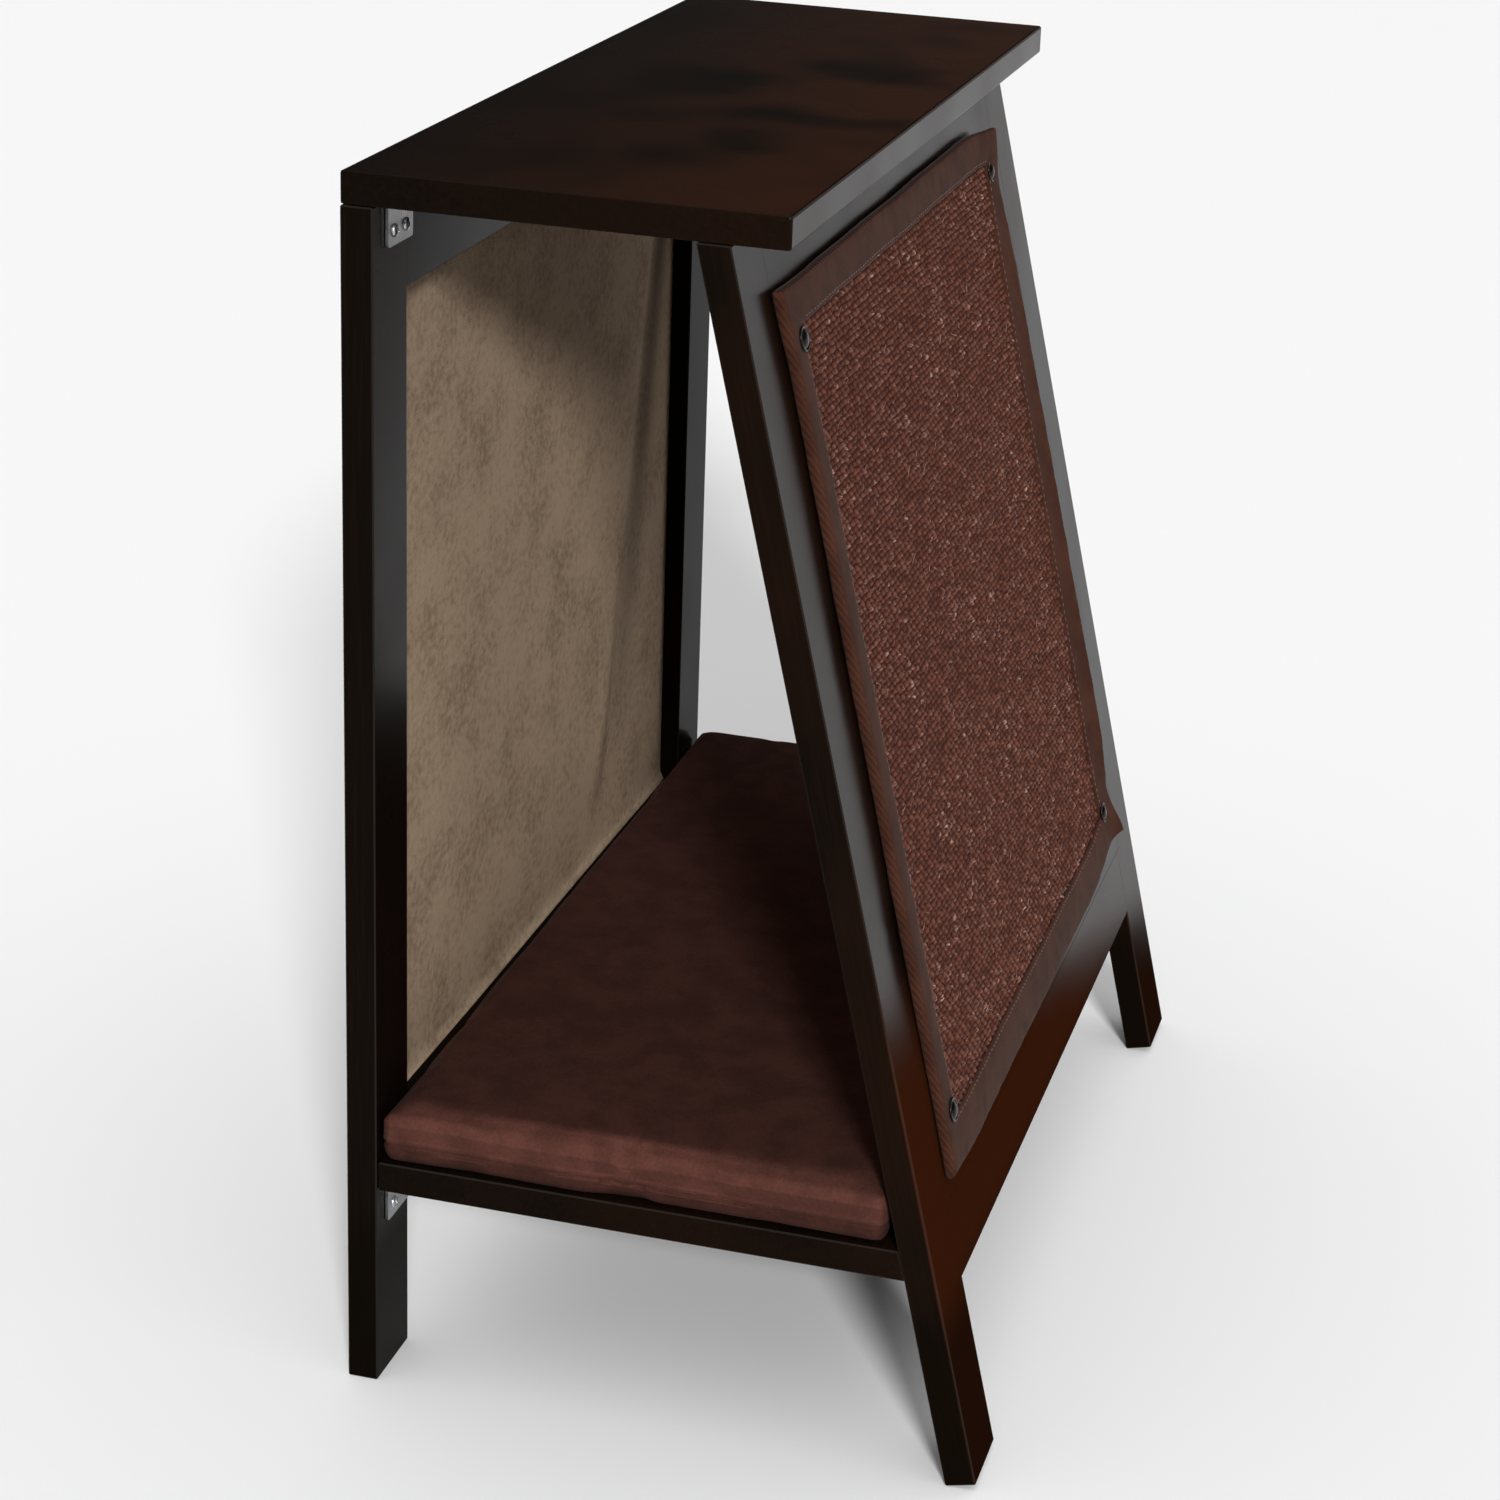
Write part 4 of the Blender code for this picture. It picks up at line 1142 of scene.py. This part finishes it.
def studio_world(stage):
    world = bpy.data.worlds.new("studio_light")
    world.use_nodes = True
    add = partial(add_node, world.node_tree)
    height = add("SeparateXYZ", (add("TexCoord", output="Generated"),), "Z")
    wall_top, ceiling_start = ([sin(angle) for angle in angles] for angles in (PALE_WALL_TOP, CEILING_START))
    wall = add("MapRange", (height, *wall_top, stage.wall_strength, stage.dark_strength))
    ceiling = add("MapRange", (height, *ceiling_start, 0, stage.ceiling_strength))
    strength = add("Math", (wall, ceiling), operation="ADD")
    background = world.node_tree.nodes["Background"]
    fill_sockets(background, {"Color": stage.ceiling_colour, "Strength": strength})
    bpy.context.scene.world = world


def build_stage(stage):
    bm = bmesh.new()
    bmesh.ops.create_grid(bm, x_segments=1, y_segments=1, size=FLOOR_SIZE / 2)
    floor = add_object("studio_floor", bm)
    floor.data.materials.append(matt_studio_paint(stage.floor_colour))
    studio_world(stage)
    sun = bpy.data.lights.new("front_light", "SUN")
    sun.energy = stage.sun_strength
    sun.angle = SUN_SOFTNESS
    level = cos(SUN_HEIGHT)
    from_front = Vector((level * sin(SUN_FROM_RIGHT), -level * cos(SUN_FROM_RIGHT), sin(SUN_HEIGHT)))
    lamp = add_object("front_light", sun)
    lamp.location = from_front * SUN_DISTANCE
    lamp.rotation_euler = (-from_front).to_track_quat("-Z", "Y").to_euler()
    data = bpy.data.cameras.new("photo_camera")
    data.lens = CAMERA_LENS
    data.shift_x, data.shift_y = CAMERA_SHIFT
    camera = add_object("photo_camera", data)
    camera.location = CAMERA_PLACE
    camera.rotation_euler = [radians(angle) for angle in CAMERA_TURN]
    bpy.context.scene.camera = camera
    bpy.context.scene.view_settings.view_transform = "Standard"


def colour_property(name, description, hex_colour):
    return bpy.props.FloatVectorProperty(
        name=name, description=description, subtype="COLOR", size=4, min=0, max=1, default=linear(hex_colour)
    )


def amount_property(name, description, default, least=0, **settings):
    return bpy.props.FloatProperty(
        name=name, description=description, default=default, min=least, **settings
    )


class PetBedStage(bpy.types.PropertyGroup):
    """Floor and lights."""

    floor_colour: colour_property("Floor colour", "Colour of the plain floor", "#F6F6F6")
    ceiling_colour: colour_property("Studio colour", "Colour of the light from all round", "#FBFBFC")
    ceiling_strength: amount_property("Ceiling strength", "Strength of the soft light from above", 1.08)
    wall_strength: amount_property("Low wall strength", "Strength of the pale band at the horizon", 0.8)
    dark_strength: amount_property("Dark wall strength", "Strength of the wall above the pale band", 0.025)
    sun_strength: amount_property("Front strength", "Strength of the soft light from the front", 2.7)


class PetBedFinishes(bpy.types.PropertyGroup):
    """Colours of the boards and the cloth."""

    board_dark: colour_property("Board", "Main colour of the lacquered boards", "#0B0805")
    board_pore: colour_property("Board pores", "Colour along the pores of the boards", "#120B07")
    board_cloud: colour_property("Board clouds", "Colour of the faint clouds in the stain", "#2E180D")
    # Colour of the painted highlight along the eased edges
    board_edge_highlight: colour_property("Board edges", "Colour of the worn edges", "#3A3632")
    # Colour of the painted light on the lower outer face of the leaning side
    board_painted_light: colour_property("Rubbed board", "Colour of the leaning side near its feet", "#34170A")
    canvas: colour_property("Canvas", "Colour of the canvas inside the sides", "#B39C84")
    canvas_smudge: colour_property("Canvas smudges", "Colour of the canvas where it is soiled", "#8C7761")
    canvas_gap: colour_property("Canvas gaps", "Colour between the threads of the canvas", "#6A5843")
    # Colour of the painted shadow on the canvas near the rear leg
    canvas_painted_shadow: colour_property("Canvas fold", "Colour of the canvas deep in its fold", "#2E251C")
    cushion: colour_property("Cushion", "Colour of the cushion's cover", "#4B2D26")
    binding: colour_property("Binding", "Colour of the cloth round the scratching mats", "#40261C")
    sisal: colour_property("Sisal", "Colour of the loops' tops", "#72483B")
    # Colour of the painted shade in the grooves between the rows
    sisal_groove_shade: colour_property("Sisal grooves", "Colour between the rows of loops", "#32150F")
    # Also the colour of the painted glint on the tops of the loops
    straw: colour_property("Straw", "Colour of the undyed strands", "#DDB5A4")


class PetBedCushion(bpy.types.PropertyGroup):
    """How full the cushion is."""

    pressure: amount_property("Pressure", "Air pressure that swells the cushion", 4.0, max=20)


class PetBedPads(bpy.types.PropertyGroup):
    """The weave of the scratching mats."""

    row_pitch: amount_property("Row pitch", "Distance between rows of loops", 0.0034, 0.002, unit="LENGTH")
    loop_length: amount_property("Loop length", "Length of one loop", 0.0060, 0.002, unit="LENGTH")
    loop_rise: amount_property("Loop rise", "How far loops stand above the grooves", 0.0018, unit="LENGTH")
    fibre_count: bpy.props.IntProperty(
        name="Straw ends", description="Loose straw ends on each mat", default=450, min=0, max=4000
    )


class PETBED_OT_stage(bpy.types.Operator):
    """Add the floor, the lights and the camera"""

    bl_idname = "petbed.stage"
    bl_label = "Stage"

    def execute(self, context):
        build_stage(context.scene.pet_bed_stage)
        return {"FINISHED"}


class PETBED_OT_boards(bpy.types.Operator):
    """Give the boards their lacquer, and the dowels and studs their finish"""

    bl_idname = "petbed.boards"
    bl_label = "Boards"

    def execute(self, context):
        lacquer = espresso_lacquered_board
        finishes = {
            "tabletop": lacquer("espresso_lacquer_top", "y", clouded=1.0),
            "bed_board": lacquer("espresso_lacquer_bed", "y"),
            "left_rear_leg": lacquer("espresso_lacquer_rear_leg", "z", shine=REAR_SHINE),
            "left_leg": lacquer("espresso_lacquer_leg", "z", shine=SHADED_SHINE),
            "left_rail": lacquer("espresso_lacquer_rail", "y", shine=SHADED_SHINE),
            "right_leg": lacquer("espresso_lacquer_leaning_leg", "z", leaning=True),
            "right_rail": lacquer("espresso_lacquer_leaning_rail", "y", leaning=True),
            "dowel": bare_beech_dowel(),
            "stud": plated_metal("bright_nickel_plate", "#C9C5BD", roughness=0.25),
        }
        for side in SIDES:
            finishes[side.name + "_panel"] = finishes[side.name + "_leg"]
            build_joint_fill(side, finishes[side.name + "_rail"])
        for name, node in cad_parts.items():
            # A piece's finish goes by its whole name, or else by its side and kind, or by its kind alone
            words = name.split("_")
            keys = (name, f"{words[0]}_{words[-1]}", words[-1])
            finish = next((finishes[key] for key in keys if key in finishes), None)
            if finish:
                node.data.materials.clear()
                node.data.materials.append(finish)
        return {"FINISHED"}


class PETBED_OT_canvas(bpy.types.Operator):
    """Add the canvas inside the two sides"""

    bl_idname = "petbed.canvas"
    bl_label = "Canvas"

    def execute(self, context):
        finish = unbleached_canvas()
        for side in SIDES:
            build_canvas(side, finish)
        return {"FINISHED"}


class PETBED_OT_cushion(bpy.types.Operator):
    """Add the cushion"""

    bl_idname = "petbed.cushion"
    bl_label = "Cushion"

    def execute(self, context):
        colour = context.scene.pet_bed_finishes.cushion
        finish = brushed_faux_suede("brushed_faux_suede", colour, sheen=0.01)
        build_cushion(finish, context.scene.pet_bed_cushion.pressure)
        return {"FINISHED"}


class PETBED_OT_pads(bpy.types.Operator):
    """Add the two scratching pads with their binding and stitches"""

    bl_idname = "petbed.pads"
    bl_label = "Scratching pads"

    def execute(self, context):
        sisal = dyed_sisal_loops()
        straw = straw_fibre()
        colour = context.scene.pet_bed_finishes.binding
        suede = brushed_faux_suede("faux_suede_twill", colour, sheen=0.04, rib=0.002)
        thread = sewing_thread()
        for seed, side in enumerate(SIDES):
            weave = build_mat(side, sisal, seed)
            build_fibres(side, straw, seed, weave)
            build_binding(side, suede)
            build_stitches(side, thread)
        return {"FINISHED"}


class PETBED_OT_caps(bpy.types.Operator):
    """Add the snap caps in the corners of the pads"""

    bl_idname = "petbed.caps"
    bl_label = "Snap caps"

    def execute(self, context):
        finish = plated_metal("black_nickel_plate", "#2C2826", roughness=0.3)
        for side in SIDES:
            build_caps(side, finish)
        return {"FINISHED"}


class PETBED_OT_brackets(bpy.types.Operator):
    """Add the corner brackets and their screws"""

    bl_idname = "petbed.brackets"
    bl_label = "Brackets"

    def execute(self, context):
        build_brackets(plated_metal("zinc_plated_steel", "#C4C6C9", roughness=0.3, spangle=0.25))
        return {"FINISHED"}


class PETBED_PT_panel(bpy.types.Panel):
    """Lists the pet bed's pieces in the sidebar"""

    bl_label = "Pet Bed"
    bl_space_type = "VIEW_3D"
    bl_region_type = "UI"
    bl_category = "Pet Bed"

    def draw(self, context):
        for group in PROPERTY_GROUPS:
            settings = getattr(context.scene, group)
            for name in settings.bl_rna.properties.keys():
                if name not in ("rna_type", "name"):
                    self.layout.prop(settings, name)
        for step in STEPS:
            self.layout.operator("petbed." + step)


PROPERTY_GROUPS = {
    "pet_bed_stage": PetBedStage,
    "pet_bed_finishes": PetBedFinishes,
    "pet_bed_cushion": PetBedCushion,
    "pet_bed_pads": PetBedPads,
}
STEPS = ("stage", "boards", "canvas", "cushion", "pads", "caps", "brackets")
CLASSES = (
    *PROPERTY_GROUPS.values(),
    PETBED_OT_stage,
    PETBED_OT_boards,
    PETBED_OT_canvas,
    PETBED_OT_cushion,
    PETBED_OT_pads,
    PETBED_OT_caps,
    PETBED_OT_brackets,
    PETBED_PT_panel,
)


def register():
    for kind in CLASSES:
        bpy.utils.register_class(kind)
    for name, kind in PROPERTY_GROUPS.items():
        setattr(bpy.types.Scene, name, bpy.props.PointerProperty(type=kind))


def unregister():
    for name in PROPERTY_GROUPS:
        delattr(bpy.types.Scene, name)
    for kind in reversed(CLASSES):
        bpy.utils.unregister_class(kind)


def main():
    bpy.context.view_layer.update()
    register()
    for step in STEPS:
        getattr(bpy.ops.petbed, step)()


if __name__ == "__main__":
    main()
